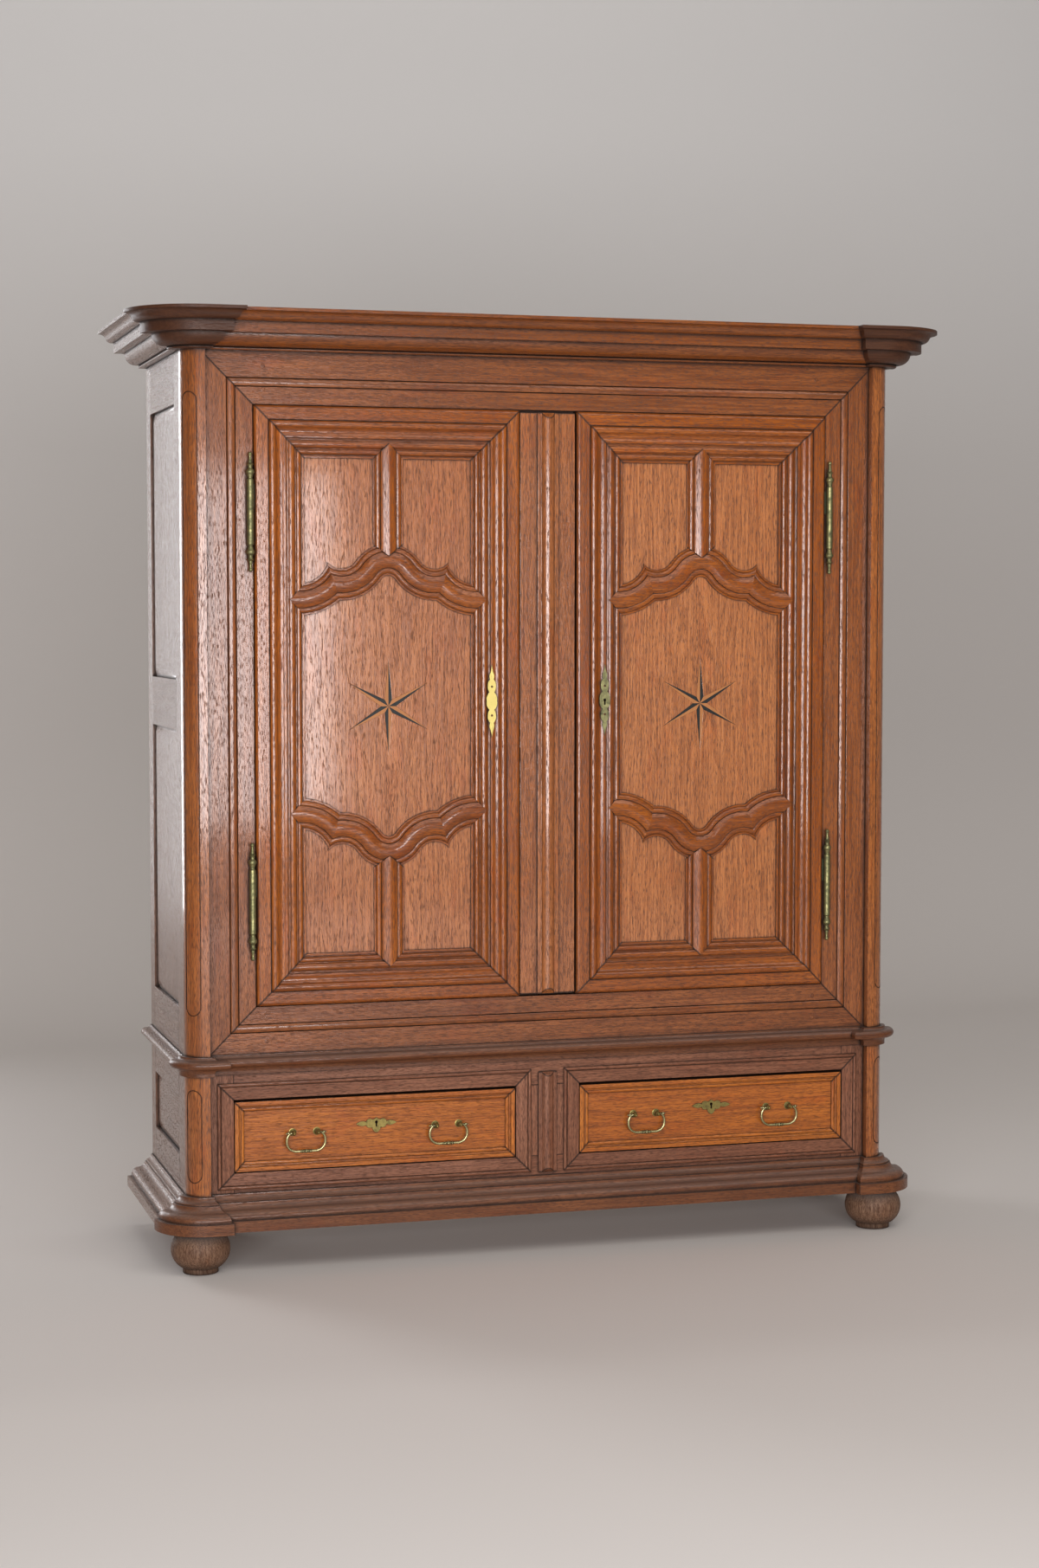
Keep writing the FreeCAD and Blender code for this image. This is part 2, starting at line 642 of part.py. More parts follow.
def side_panel(side, y0, y1, z0, z1):
    """A panel whose edges sit in grooves and whose field stands up behind a bevel."""
    face_x = side * (BODY_HALF_WIDTH - SIDE_PANEL_SET)
    back_x = face_x - side * SIDE_PANEL_EDGE_T
    field_x = face_x + side * SIDE_FIELD_RISE
    t = SIDE_PANEL_TONGUE
    m = SIDE_FIELD_MARGIN
    board = box(back_x, face_x, y0 - t, y1 + t, z0 - t, z1 + t)
    rings = []
    for x, inset in ((face_x, 0), (field_x, m)):
        corners = [V(x, y0 + inset, z0 + inset), V(x, y1 - inset, z0 + inset),
                   V(x, y1 - inset, z1 - inset), V(x, y0 + inset, z1 - inset)]
        rings.append(Part.makePolygon(corners + corners[:1]))
    return joined([board, Part.makeLoft(rings, True, True)])


def side_frame(side, z0, z1, rails):
    """Stiles and rails of one side, and the panels in their grooves; rails are (low, high) heights."""
    x0 = side * INSIDE_X
    x1 = side * BODY_HALF_WIDTH
    front = COLUMN_Y + SIDE_FRONT_STILE_W
    back = BACK - SIDE_BACK_STILE_W
    members = [box(x0, x1, COLUMN_Y, front, z0, z1), box(x0, x1, back, BACK, z0, z1)]
    members += [box(x0, x1, front, back, low, high) for low, high in rails]
    panels = [side_panel(side, front, back, lower[1], upper[0]) for lower, upper in zip(rails, rails[1:])]
    return [less(member, panels) for member in members], panels


def front_frame_steps(width):
    """A plain member with a low bead between two grooves."""
    g = FRAME_GROOVE
    b0 = FRAME_BEAD_IN + g
    b1 = b0 + FRAME_BEAD_W
    return [(0, -FRAME_T), (0, 0), (FRAME_BEAD_IN, 0), (FRAME_BEAD_IN + g / 2, -g), (b0, 0),
            (b1, 0, FRAME_BEAD_RISE), (b1 + g / 2, -g), (b1 + g, 0), (width, 0), (width, -FRAME_T)]


def door_stops():
    """Rebated battens behind the rails, which the doors close on; the upper one has room for the bolt."""
    touch = FRONT + DOOR_BACK + STOP_CLEAR
    behind = FRONT + FRAME_T
    far = behind + STOP_D
    slot = BOLT_SLOT_W / 2
    runs = [(OPENING_Z0, 1, -OPENING_X, OPENING_X), (OPENING_Z1, -1, -OPENING_X, BOLT_X - slot),
            (OPENING_Z1, -1, BOLT_X + slot, OPENING_X)]
    stops = []
    for edge, sign, x0, x1 in runs:
        lip = edge + sign * STOP_REACH
        root = edge - sign * STOP_H
        steps = [(touch, edge), (touch, lip), (far, lip), (far, root), (behind, root), (behind, edge)]
        stops.append(face(steps, lambda y, z: V(x0, y, z)).extrude(ACROSS * (x1 - x0)))
    return stops


def frame_pegs():
    """Two pegs through each corner joint of the front frame."""
    pegs = []
    for side in SIDES:
        x = side * (OPENING_X - PEG_IN)
        for middle in (OPENING_Z0 - BOTTOM_RAIL_W / 2, OPENING_Z1 + TOP_RAIL_W / 2):
            for way in SIDES:
                foot = V(x, FRONT, middle + way * PEG_SPACING / 2)
                pegs.append(Part.makeCylinder(PEG_R, FRAME_T, foot, INWARD))
    return pegs


def chamfered_board(x0, x1, y0, y1, z0, z1):
    """An upright back board whose outer edges are chamfered."""
    c = BOARD_CHAMFER
    steps = [(x0, y0), (x1, y0), (x1, y1 - c), (x1 - c, y1), (x0 + c, y1), (x0, y1 - c)]
    return face(steps, lambda x, y: V(x, y, z0)).extrude(UP * (z1 - z0))


def base_front():
    """Stiles and rails round the two drawer openings."""
    y0 = FRONT
    y1 = FRONT + FRAME_T
    half = CENTRE_STILE_W / 2
    return [box(-COLUMN_X, -DRAWER_X1, y0, y1, Z_BASE, Z_WAIST),
            box(-half, half, y0, y1, DRAWER_Z0, DRAWER_Z1),
            box(DRAWER_X1, COLUMN_X, y0, y1, Z_BASE, Z_WAIST),
            box(-DRAWER_X1, DRAWER_X1, y0, y1, Z_BASE, DRAWER_Z0),
            box(-DRAWER_X1, DRAWER_X1, y0, y1, DRAWER_Z1, Z_WAIST)]


def surround_steps(width):
    """A flat border that falls a little to the opening, with a bead on its outer edge."""
    bead = width - SURROUND_BEAD_W
    low = SURROUND_RISE - SURROUND_QUIRK
    return [(0, 0), (0, SURROUND_RISE - SURROUND_FALL), (bead - SURROUND_QUIRK, SURROUND_RISE), (bead, low),
            (width, low, SURROUND_BEAD_BULGE), (width, 0)]


def base_mouldings():
    """A mitred surround round each drawer opening, and the bar on the centre stile."""
    pieces = []
    for side in SIDES:
        x0, x1 = sorted((side * DRAWER_X0, side * DRAWER_X1))
        pieces += mitred_frame((x0, x1, DRAWER_Z0, DRAWER_Z1), [SURROUND_W] * 4, surround_steps, FRONT)
    pieces.append(hipped_bar(0, Z_BASE + CENTRE_BAR_UP, Z_WAIST - CENTRE_BAR_DOWN, FRONT, CENTRE_BAR_W,
                             CENTRE_BAR_STEP, CENTRE_BAR_STEP_RISE, CENTRE_BAR_RISE))
    return pieces


def runners():
    """Rails with guides, from the front frame to the back, that carry the drawers."""
    low = RUNNER_TOP - RUNNER_H
    high = RUNNER_TOP + GUIDE_H
    inner = DRAWER_X0 + DRAWER_GAP - DRAWER_RUN_GAP
    outer = DRAWER_X1 - DRAWER_GAP + DRAWER_RUN_GAP
    rails = []
    for side in SIDES:
        for wall, way in ((inner, 1), (outer, -1)):
            shelf = wall + way * RUNNER_W
            guide = wall - way * GUIDE_T
            steps = [(shelf, RUNNER_TOP), (shelf, low), (guide, low), (guide, high), (wall, high),
                     (wall, RUNNER_TOP)]
            rails.append(plate([(side * a, z) for a, z in steps], FRONT + FRAME_T, INSIDE_BACK))
    return rails


def shelf_boards():
    """Shelves at even heights, each on two battens."""
    shelves = []
    pitch = (Z_CORNICE - BOARD_T - Z_UPPER) / (SHELF_COUNT + 1)
    y0 = FRONT + SHELF_SET_BACK
    for i in range(SHELF_COUNT):
        z = Z_UPPER + (i + 1) * pitch
        shelves.append(box(-INSIDE_X, INSIDE_X, y0, INSIDE_BACK, z, z + SHELF_T))
        for side in SIDES:
            inner = side * (INSIDE_X - BATTEN)
            shelves.append(box(inner, side * INSIDE_X, y0, INSIDE_BACK, z - BATTEN, z))
    return shelves


# Doors

def door_steps(width):
    """The door's moulding from the field outwards, with the panel's groove behind it."""
    bead0 = FIELD_FILLET_W + QUIRK_W
    bead1 = bead0 + DOOR_BEAD_W
    ogee = bead1 + QUIRK_W
    turn = ogee + OGEE_SWELL_W
    hollow = ARRIS_IN + ARRIS_W
    rounded = hollow + HOLLOW_W
    quirk = rounded + ROUND_W
    sill = FIELD_FILLET_RISE - PANEL_SET
    shoulder = sill + DOOR_BEAD_RISE
    swell = DOOR_PROUD - OGEE_BELOW
    arris = DOOR_PROUD - ARRIS_BELOW
    crown = DOOR_PROUD + ROUND_RISE
    groove0 = -PANEL_SET
    groove1 = -PANEL_SET - PANEL_T
    return [(0, groove0), (0, sill), (FIELD_FILLET_W, sill), (FIELD_FILLET_W, sill - QUIRK_DEPTH),
            (bead0, sill - QUIRK_DEPTH), (bead1, shoulder, DOOR_BEAD_BULGE), (ogee, shoulder),
            (turn, swell, OGEE_SWELL_BULGE), (ARRIS_IN, swell - OGEE_FALL, -OGEE_DIP_BULGE),
            (ARRIS_IN, arris), (hollow, arris), (rounded, crown, -HOLLOW_BULGE),
            (quirk, crown - ROUND_FALL, ROUND_BULGE), (quirk, DOOR_PROUD - QUIRK_W),
            (FLAT_IN, DOOR_PROUD - QUIRK_W), (FLAT_IN, DOOR_PROUD), (width - DOOR_EDGE_W, DOOR_PROUD),
            (width, 0, DOOR_EDGE_BULGE), (width, -DOOR_BACK), (0, -DOOR_BACK), (0, groove1),
            (PANEL_TONGUE, groove1), (PANEL_TONGUE, groove0)]


def bar_steps():
    """A round between two beads and two fillets, across the bar's width, standing on the panel."""
    fillet = BAR_FILLET_RISE - PANEL_SET
    crown = BAR_ROUND_RISE - PANEL_SET
    bead = BAR_HALF_W - BAR_FILLET_W
    inner = bead - BAR_BEAD_W
    return [(-BAR_HALF_W, -PANEL_SET), (-BAR_HALF_W, fillet), (-bead, fillet), (-bead, fillet - BAR_QUIRK),
            (-inner, fillet + BAR_BEAD_RISE, BAR_BEAD_BULGE), (-inner, crown),
            (inner, crown, BAR_ROUND_BULGE), (inner, fillet + BAR_BEAD_RISE),
            (bead, fillet - BAR_QUIRK, BAR_BEAD_BULGE), (bead, fillet),
            (BAR_HALF_W, fillet), (BAR_HALF_W, -PANEL_SET)]


def bent(centre_x, centre_z, radius, start, sweep):
    """The bar's section carried round an arc in the door's plane; angles from +X towards +Z."""
    a = math.radians(start)
    out = V(math.cos(a), 0, math.sin(a))
    centre = V(centre_x, FRONT, centre_z)
    section = face(bar_steps(), lambda d, h: centre + out * (radius + d) - INWARD * h)
    return section.revolve(centre, V(0, -1, 0), sweep)


def past_cusp(side):
    """Everything beyond the mitre where a cross bar's dip meets its lobe."""
    lean = (LOBE - CUSP) / 2
    out = V(side * math.cos(lean), 0, -math.sin(lean)) * FIELD_HALF
    along = V(side * math.sin(lean), 0, math.cos(lean)) * FIELD_HALF
    cusp = V(side * CUSP_X, 0, CUSP_Z)
    corners = [cusp + along, cusp - along, cusp - along + out, cusp + along + out]
    return plate([(corner.x, corner.z) for corner in corners], FRONT - OVERRUN, FRONT + OVERRUN)


def cross_bar(x, z, way):
    """Left lobe, right lobe and middle of a cross bar; way is 1 with its crest up, -1 with it down."""
    middle = [bent(0, -CREST_BEND, CREST_BEND, 90 - CREST_SLOPE, 2 * CREST_SLOPE)]
    pieces = []
    for side in SIDES:
        sweep = CREST_SLOPE + CUSP_SLOPE + ARC_OVERRUN
        start = 270 - CREST_SLOPE if side > 0 else 270 + CREST_SLOPE - sweep
        middle.append(bent(side * DIP_X, DIP_Z, DIP_BEND, start, sweep))
        sweep = LOBE_SLOPE + ARC_OVERRUN
        start = 270 - sweep if side > 0 else 270
        lobe = bent(side * LOBE_X, LOBE_Z + LOBE_BEND, LOBE_BEND, start, sweep)
        level = face(bar_steps(), lambda d, h: V(side * LOBE_X, FRONT - h, LOBE_Z - d))
        lobe = joined([lobe, level.extrude(ACROSS * (side * DOOR_FRAME_W))])
        pieces.append(largest(lobe.common(past_cusp(side))))
    pieces.append(less(joined(middle), [past_cusp(side) for side in SIDES]))
    for i, piece in enumerate(pieces):
        pieces[i] = piece.mirror(V(0, 0, 0), UP) if way < 0 else piece
        pieces[i].translate(V(x, 0, z))
    return pieces


def door_notches(x):
    """Pointed notches in a door's frame where the bars run into it: left, right, bottom and top."""
    w = BAR_HALF_W
    level = CREST_OFFSET + LOBE_Z
    outlines = []
    for side in SIDES:
        edge = x + side * FIELD_HALF
        for z in (DOOR_MID_Z + level, DOOR_MID_Z - level):
            outlines.append([(edge, z - w), (edge + side * w, z), (edge, z + w)])
    for edge, way in ((FIELD_Z0, -1), (FIELD_Z1, 1)):
        outlines.append([(x - w, edge), (x, edge + way * w), (x + w, edge)])
    return [plate(outline, FRONT - OVERRUN, PANEL_Y) for outline in outlines]


def door_bars(x, notches):
    """The curved and upright bars planted on one panel, trimmed to each other and to the frame."""
    w = BAR_HALF_W
    field = box(x - FIELD_HALF, x + FIELD_HALF, FRONT - OVERRUN, PANEL_Y, FIELD_Z0, FIELD_Z1)
    reach = joined([field] + notches)
    bars = []
    for way, end in ((1, FIELD_Z1), (-1, FIELD_Z0)):
        crest = DOOR_MID_Z + way * CREST_OFFSET
        shoulder = crest + way * w
        root = shoulder - way * CREST_NOTCH
        beyond = end + way * OVERRUN
        outline = [(x, root), (x + w, shoulder), (x + w, beyond), (x - w, beyond), (x - w, shoulder)]
        shaft = plate(outline, FRONT - OVERRUN, PANEL_Y)
        upright = face(bar_steps(), lambda d, h: V(x + d, FRONT - h, root)).extrude(UP * (beyond - root))
        left, right, middle = cross_bar(x, crest, way)
        middle = less(middle, [shaft])
        upright = upright.common(shaft).common(reach)
        bars += [less(upright, [middle]), middle, largest(left.common(reach)), largest(right.common(reach))]
    return bars


def star(x):
    """Slim rays, each of two halves, let into the panel; neighbours meet halfway between two rays."""
    halves = []
    halfway = math.pi / STAR_RAYS
    waist = STAR_WAIST_R * math.cos(halfway)
    waist_half = STAR_WAIST_R * math.sin(halfway)
    for i in range(STAR_RAYS):
        a = math.pi / 2 + i * 2 * halfway
        for side in SIDES:
            ray = [(0, 0), (STAR_LENGTH, 0), (waist, side * waist_half)]
            points = [(x + p * math.cos(a) - q * math.sin(a), DOOR_MID_Z + p * math.sin(a) + q * math.cos(a))
                      for p, q in ray]
            halves.append(plate(points, PANEL_Y, PANEL_Y + STAR_DEPTH))
    return halves


def keyhole(x, z, y0, y1):
    hole = Part.makeCylinder(KEYHOLE_R, y1 - y0, V(x, y0, z), INWARD)
    slot = box(x - KEYHOLE_SLOT / 2, x + KEYHOLE_SLOT / 2, y0, y1, z - KEYHOLE_DROP, z)
    return hole.fuse(slot)


def door_plate(x, holes):
    """A slim key plate with lobed sides, pointed ends and an eye above and below, on the arris."""
    z = DOOR_MID_Z + DOOR_PLATE_Z
    y1 = FRONT - DOOR_PROUD + ARRIS_BELOW
    y0 = y1 - PLATE_T
    eyes = [Part.makeCylinder(DOOR_PLATE_EYE_R, PLATE_T, V(x, y0, z + way * DOOR_PLATE_EYE_Z), INWARD)
            for way in SIDES]
    return less(plate(moved(mirrored(DOOR_PLATE), x, z), y0, y1), eyes + holes)


def hinge_halves(side, z):
    """The fixed lower half with its pin and leaf, and the door's upper half with its bore and leaf."""
    x = side * HINGE_X
    r = HINGE_BARREL_R
    length = HINGE_BARREL_L / 2
    middle = V(x, HINGE_Y, z)
    steps = HINGE_TIP + [ball_end(HINGE_TIP[-1][0], HINGE_TIP[-1][1], HINGE_TIP_BALL_R)]
    tip = [(step[0], length + step[1]) + step[2:] for step in steps]
    root = [(step[0], -step[1]) + tuple(-bulge for bulge in step[2:]) for step in tip]
    upper = turned([(0, HINGE_SPLIT), (r, HINGE_SPLIT), (r, length)] + tip, x, HINGE_Y, z)
    lower = turned([(0, 0), (r, 0), (r, -length)] + root, x, HINGE_Y, z)
    pin = Part.makeCylinder(HINGE_PIN_R, HINGE_PIN_L, middle)
    bore = Part.makeCylinder(HINGE_PIN_R + HINGE_CLEAR, HINGE_PIN_L + HINGE_SPLIT, middle)
    low = z - (length + HINGE_LEAF_L) / 2
    high = z + (length - HINGE_LEAF_L) / 2
    t = HINGE_LEAF_T
    fixed_leaf = box(x - t / 2, x + t / 2, HINGE_Y + HINGE_PIN_R, FRONT + HINGE_LEAF_DEPTH,
                     low, low + HINGE_LEAF_L)
    leaf_y = FRONT - HINGE_LEAF_CLEAR
    door_leaf = box(x, side * (DOOR_X - HINGE_LEAF_DEPTH / 2), leaf_y - t, leaf_y, high, high + HINGE_LEAF_L)
    return joined([lower, pin, fixed_leaf]), less(joined([upper, door_leaf]), [bore])


# Drawers

def drawer_edge_steps(width):
    """The moulded edge of a drawer front: lip, ovolo, cove and an outer band."""
    band = width - DRAWER_BAND_W
    return [(0, 0), (0, DRAWER_LIP_RISE), (DRAWER_OVOLO_W, DRAWER_OVOLO_RISE, DRAWER_OVOLO_BULGE),
            (DRAWER_OVOLO_W + DRAWER_QUIRK, DRAWER_OVOLO_RISE - DRAWER_QUIRK),
            (band, DRAWER_COVE_RISE, -DRAWER_COVE_BULGE), (band, DRAWER_EDGE_RISE),
            (width, DRAWER_EDGE_RISE), (width, 0)]


def drawer_plate(x, z):
    """A leafy key plate with pointed ends and a drop below."""
    y = DRAWER_FACE_Y
    outline = moved(mirrored(DRAWER_PLATE), x, z)
    return less(plate(outline, y - PLATE_T, y), [keyhole(x, z + DRAWER_KEYHOLE_UP, y - PLATE_T, y)])


def handle_post(x, z):
    """A turned stud with a rose on the drawer and a knob outside, drilled for the bail's pin."""
    y = DRAWER_FACE_Y
    knob = BAIL_PROUD + POST_KNOB_OUT
    steps = [(0, 0), (POST_ROSE_R, 0), (POST_ROSE_TOP_R, POST_ROSE_T, POST_ROSE_BULGE),
             (POST_R, POST_ROSE_T + POST_NECK_H), (POST_R, BAIL_PROUD - POST_KNOB_IN),
             (POST_KNOB_R, BAIL_PROUD, -POST_KNOB_BULGE), (POST_BUTTON_R, knob, -POST_KNOB_BULGE),
             ball_end(POST_BUTTON_R, knob, POST_BALL_R)]
    post = face(steps, lambda r, h: V(x + r, y - h, z)).revolve(V(x, y, z), INWARD, 360)
    hole = Part.makeCylinder(BAIL_PIN_R + BAIL_CLEAR, 2 * OVERRUN, V(x - OVERRUN, y - BAIL_PROUD, z), ACROSS)
    return less(post, [hole])


def wire_arc(centre, radius, start, sweep):
    """A length of bail wire bent round a centre; angles from +X towards +Z."""
    a = math.radians(start)
    middle = centre + V(math.cos(a), 0, math.sin(a)) * radius
    section = Part.Face(Part.Wire(Part.makeCircle(BAIL_WIRE_R, middle, V(-math.sin(a), 0, math.cos(a)))))
    return section.revolve(centre, V(0, -1, 0), sweep)


def bail(x, z):
    """A wire handle with a flat bow, hanging on two pins, with a knuckle at each end and beads below."""
    y = DRAWER_FACE_Y - BAIL_PROUD
    low = z - BAIL_DROP
    lean = math.radians(BAIL_LEAN)
    corner_x = BAIL_HALF_W - BAIL_CORNER_R
    corner_z = low + BAIL_CORNER_R
    bend_x = corner_x + BAIL_CORNER_R * math.cos(lean)
    bend_z = corner_z + BAIL_CORNER_R * math.sin(lean)
    knuckle_x = bend_x - (z - bend_z) * math.tan(lean)
    pin_x = BAIL_POST_X - POST_KNOB_R
    pieces = [Part.makeCylinder(BAIL_WIRE_R, 2 * corner_x, V(x - corner_x, y, low), ACROSS),
              Part.makeSphere(BAIL_BEAD_R, V(x, y, low), ACROSS)]
    for side, start in zip(SIDES, (180 - BAIL_LEAN, 270)):
        pieces.append(wire_arc(V(x + side * corner_x, y, corner_z), BAIL_CORNER_R, start, 90 + BAIL_LEAN))
        bend = V(x + side * bend_x, y, bend_z)
        knuckle = V(x + side * knuckle_x, y, z)
        rise = knuckle - bend
        pieces.append(Part.makeCylinder(BAIL_WIRE_R, rise.Length, bend, rise))
        pieces.append(Part.makeSphere(BAIL_KNUCKLE_R, knuckle, rise))
        tip = V(x + side * pin_x, y, z)
        pieces.append(Part.makeCylinder(BAIL_PIN_R, knuckle_x - pin_x, tip, ACROSS * side))
        pieces.append(Part.makeSphere(BAIL_SIDE_BEAD_R, V(x + side * BAIL_BEAD_GAP, y, low), ACROSS))
    return joined(pieces)


# The nodes, body by body

def build_base():
    buns = feet()
    front, corners, runs = moulding_round(plinth_steps(), Z_PLINTH, PLINTH_RETURN)
    bottom = box(-INSIDE_X, INSIDE_X, COLUMN_Y, BACK, Z_PLINTH, Z_PLINTH + BOARD_T)
    write("bun_feet", buns)
    write("plinth_front", [less(front, buns)])
    write("plinth_corners", [less(corner, buns) for corner in corners])
    write("plinth_sides", runs)
    write("base_bottom", [less(bottom, buns)])
    write("base_front_frame", base_front())
    write("base_front_mouldings", base_mouldings())
    write("drawer_runners", runners())
    front, corners, runs = moulding_round(waist_steps(), Z_WAIST, WAIST_RETURN)
    write("waist_front", [front])
    write("waist_corners", corners)
    write("waist_sides", runs)


def build_sides():
    middle = Z_UPPER + SIDE_MID_RAIL_UP
    upper_rails = [(Z_UPPER, Z_UPPER + SIDE_BOTTOM_RAIL_W), (middle, middle + SIDE_MID_RAIL_W),
                   (Z_CORNICE - SIDE_TOP_RAIL_W, Z_CORNICE)]
    base_rails = [(Z_BASE, Z_BASE + BASE_SIDE_BOTTOM_RAIL_W), (Z_WAIST - BASE_SIDE_TOP_RAIL_W, Z_WAIST)]
    members = []
    panels = []
    columns = []
    for side in SIDES:
        for z0, z1, rails, flute in ((Z_UPPER, Z_CORNICE, upper_rails, FLUTE_END_GAP),
                                     (Z_BASE, Z_WAIST, base_rails, BASE_FLUTE_END_GAP)):
            frame, fields = side_frame(side, z0, z1, rails)
            members += frame
            panels += fields
            columns.append(column(side, z0, z1, flute))
    write("side_frames", members)
    write("side_panels", panels)
    write("corner_columns", columns)


def build_front():
    opening = (-OPENING_X, OPENING_X, OPENING_Z0, OPENING_Z1)
    members = mitred_frame(opening, (STILE_W, STILE_W, BOTTOM_RAIL_W, TOP_RAIL_W), front_frame_steps, FRONT)
    pegs = frame_pegs()
    posts = [hinge_halves(side, z)[0] for side in SIDES for z in HINGE_HEIGHTS]
    write("front_stiles", [less(stile, posts) for stile in members[:2]])
    write("front_rails", [less(rail, pegs) for rail in members[2:]] + door_stops())
    write("frame_pegs", pegs)
    write("hinge_posts", posts)


def build_inside():
    width = 2 * INSIDE_X / BACK_BOARD_COUNT
    back = [box(-INSIDE_X, INSIDE_X, INSIDE_BACK, BACK, Z_PLINTH + BOARD_T, Z_UPPER - BOARD_T)]
    for i in range(BACK_BOARD_COUNT):
        x = i * width - INSIDE_X
        back.append(chamfered_board(x, x + width, INSIDE_BACK, BACK, Z_UPPER, Z_CORNICE))
    depth = (INSIDE_BACK - COLUMN_Y) / TOP_BOARD_COUNT
    top = []
    for i in range(TOP_BOARD_COUNT):
        y = COLUMN_Y + i * depth
        top.append(box(-INSIDE_X, INSIDE_X, y, y + depth, Z_CORNICE - BOARD_T, Z_CORNICE))
    write("back_boards", back)
    write("top_boards", top)
    write("upper_bottom", [box(-INSIDE_X, INSIDE_X, COLUMN_Y, BACK, Z_UPPER - BOARD_T, Z_UPPER)])
    write("shelves", shelf_boards())


def build_cornice():
    front, corners, runs = moulding_round(cornice_steps(), Z_CORNICE, CORNICE_RETURN)
    write("cornice_front", [front])
    write("cornice_corners", corners)
    write("cornice_sides", runs)


def build_door(side, name):
    x = side * DOOR_MID_X
    plate_x = side * DOOR_PLATE_X
    t = PANEL_TONGUE
    field = (x - FIELD_HALF, x + FIELD_HALF, FIELD_Z0, FIELD_Z1)
    panel = box(field[0] - t, field[1] + t, PANEL_Y, PANEL_Y + PANEL_T, field[2] - t, field[3] + t)
    members = mitred_frame(field, [DOOR_FRAME_W] * 4, door_steps, FRONT)
    notches = door_notches(x)
    hinges = [hinge_halves(side, z)[1] for z in HINGE_HEIGHTS]
    holes = []
    if side > 0:
        holes.append(keyhole(plate_x, DOOR_MID_Z + DOOR_PLATE_Z, FRONT - OVERRUN, FRONT + DOOR_BACK))
    rays = star(x)
    start = "door_" + name
    write(start + "_stiles", [less(member, notches + hinges + holes) for member in members[:2]])
    write(start + "_rails", [less(member, notches) for member in members[2:]])
    write(start + "_panel", [less(panel, rays)])
    write(start + "_star", rays)
    write(start + "_bars", door_bars(x, notches))
    write(start + "_escutcheon", [door_plate(plate_x, holes)])
    write(start + "_hinges", hinges)


def build_meeting_strip():
    x0 = -DOOR_INNER_X
    x1 = x0 + STRIP_W
    z0 = DOOR_Z0 + STRIP_SHORT
    z1 = DOOR_Z1 - STRIP_SHORT
    face_y = FRONT - STRIP_PROUD
    write("meeting_strip", [box(x0, x1, face_y, FRONT + STRIP_BACK, z0, z1)])
    write("meeting_strip_moulding", [hipped_bar((x0 + x1) / 2, z0, z1, face_y, STRIP_BAR_W, STRIP_BAR_STEP,
                                                STRIP_BAR_STEP_RISE, STRIP_BAR_RISE)])


def build_bolt():
    """The slide bolt inside the left door, in two staples on its plate."""
    y0 = FRONT + DOOR_BACK
    y1 = y0 + BOLT_PLATE_T
    low = BOLT_TOP - BOLT_PLATE_L
    w = BOLT_W / 2 + BOLT_CLEAR
    far = BOLT_Y1 + BOLT_CLEAR
    t = BOLT_STAPLE_T
    pieces = [box(BOLT_X - BOLT_PLATE_W / 2, BOLT_X + BOLT_PLATE_W / 2, y0, y1, low, BOLT_TOP)]
    for z in (low + t, BOLT_TOP - t - BOLT_STAPLE_H):
        bridge = box(BOLT_X - w - t, BOLT_X + w + t, y1, far + t, z, z + BOLT_STAPLE_H)
        pieces.append(less(bridge, [box(BOLT_X - w, BOLT_X + w, y1, far, z, z + BOLT_STAPLE_H)]))
    write("door_left_bolt_plate", [joined(pieces)])
    bar = box(BOLT_X - BOLT_W / 2, BOLT_X + BOLT_W / 2, BOLT_Y0, BOLT_Y1, BOLT_TOP - BOLT_L, BOLT_TOP)
    grip = V(BOLT_X, BOLT_Y1, (low + BOLT_TOP - BOLT_TRAVEL) / 2)
    write("door_left_bolt", [joined([bar, Part.makeCylinder(BOLT_KNOB_R, BOLT_KNOB_H, grip, INWARD)])])


def build_lock():
    """The lock case inside the right door, behind its keyhole."""
    y0 = FRONT + DOOR_BACK
    y1 = y0 + LOCK_T
    x0 = DOOR_INNER_X + LOCK_IN
    z = DOOR_MID_Z + DOOR_PLATE_Z
    case = box(x0, x0 + LOCK_W, y0, y1, z - LOCK_H / 2, z + LOCK_H / 2)
    edges = [edge for edge in case.Edges if edge.BoundBox.YMin > y1 - TINY]
    write("door_right_lock", [case.makeFillet(LOCK_EDGE_R, edges)])


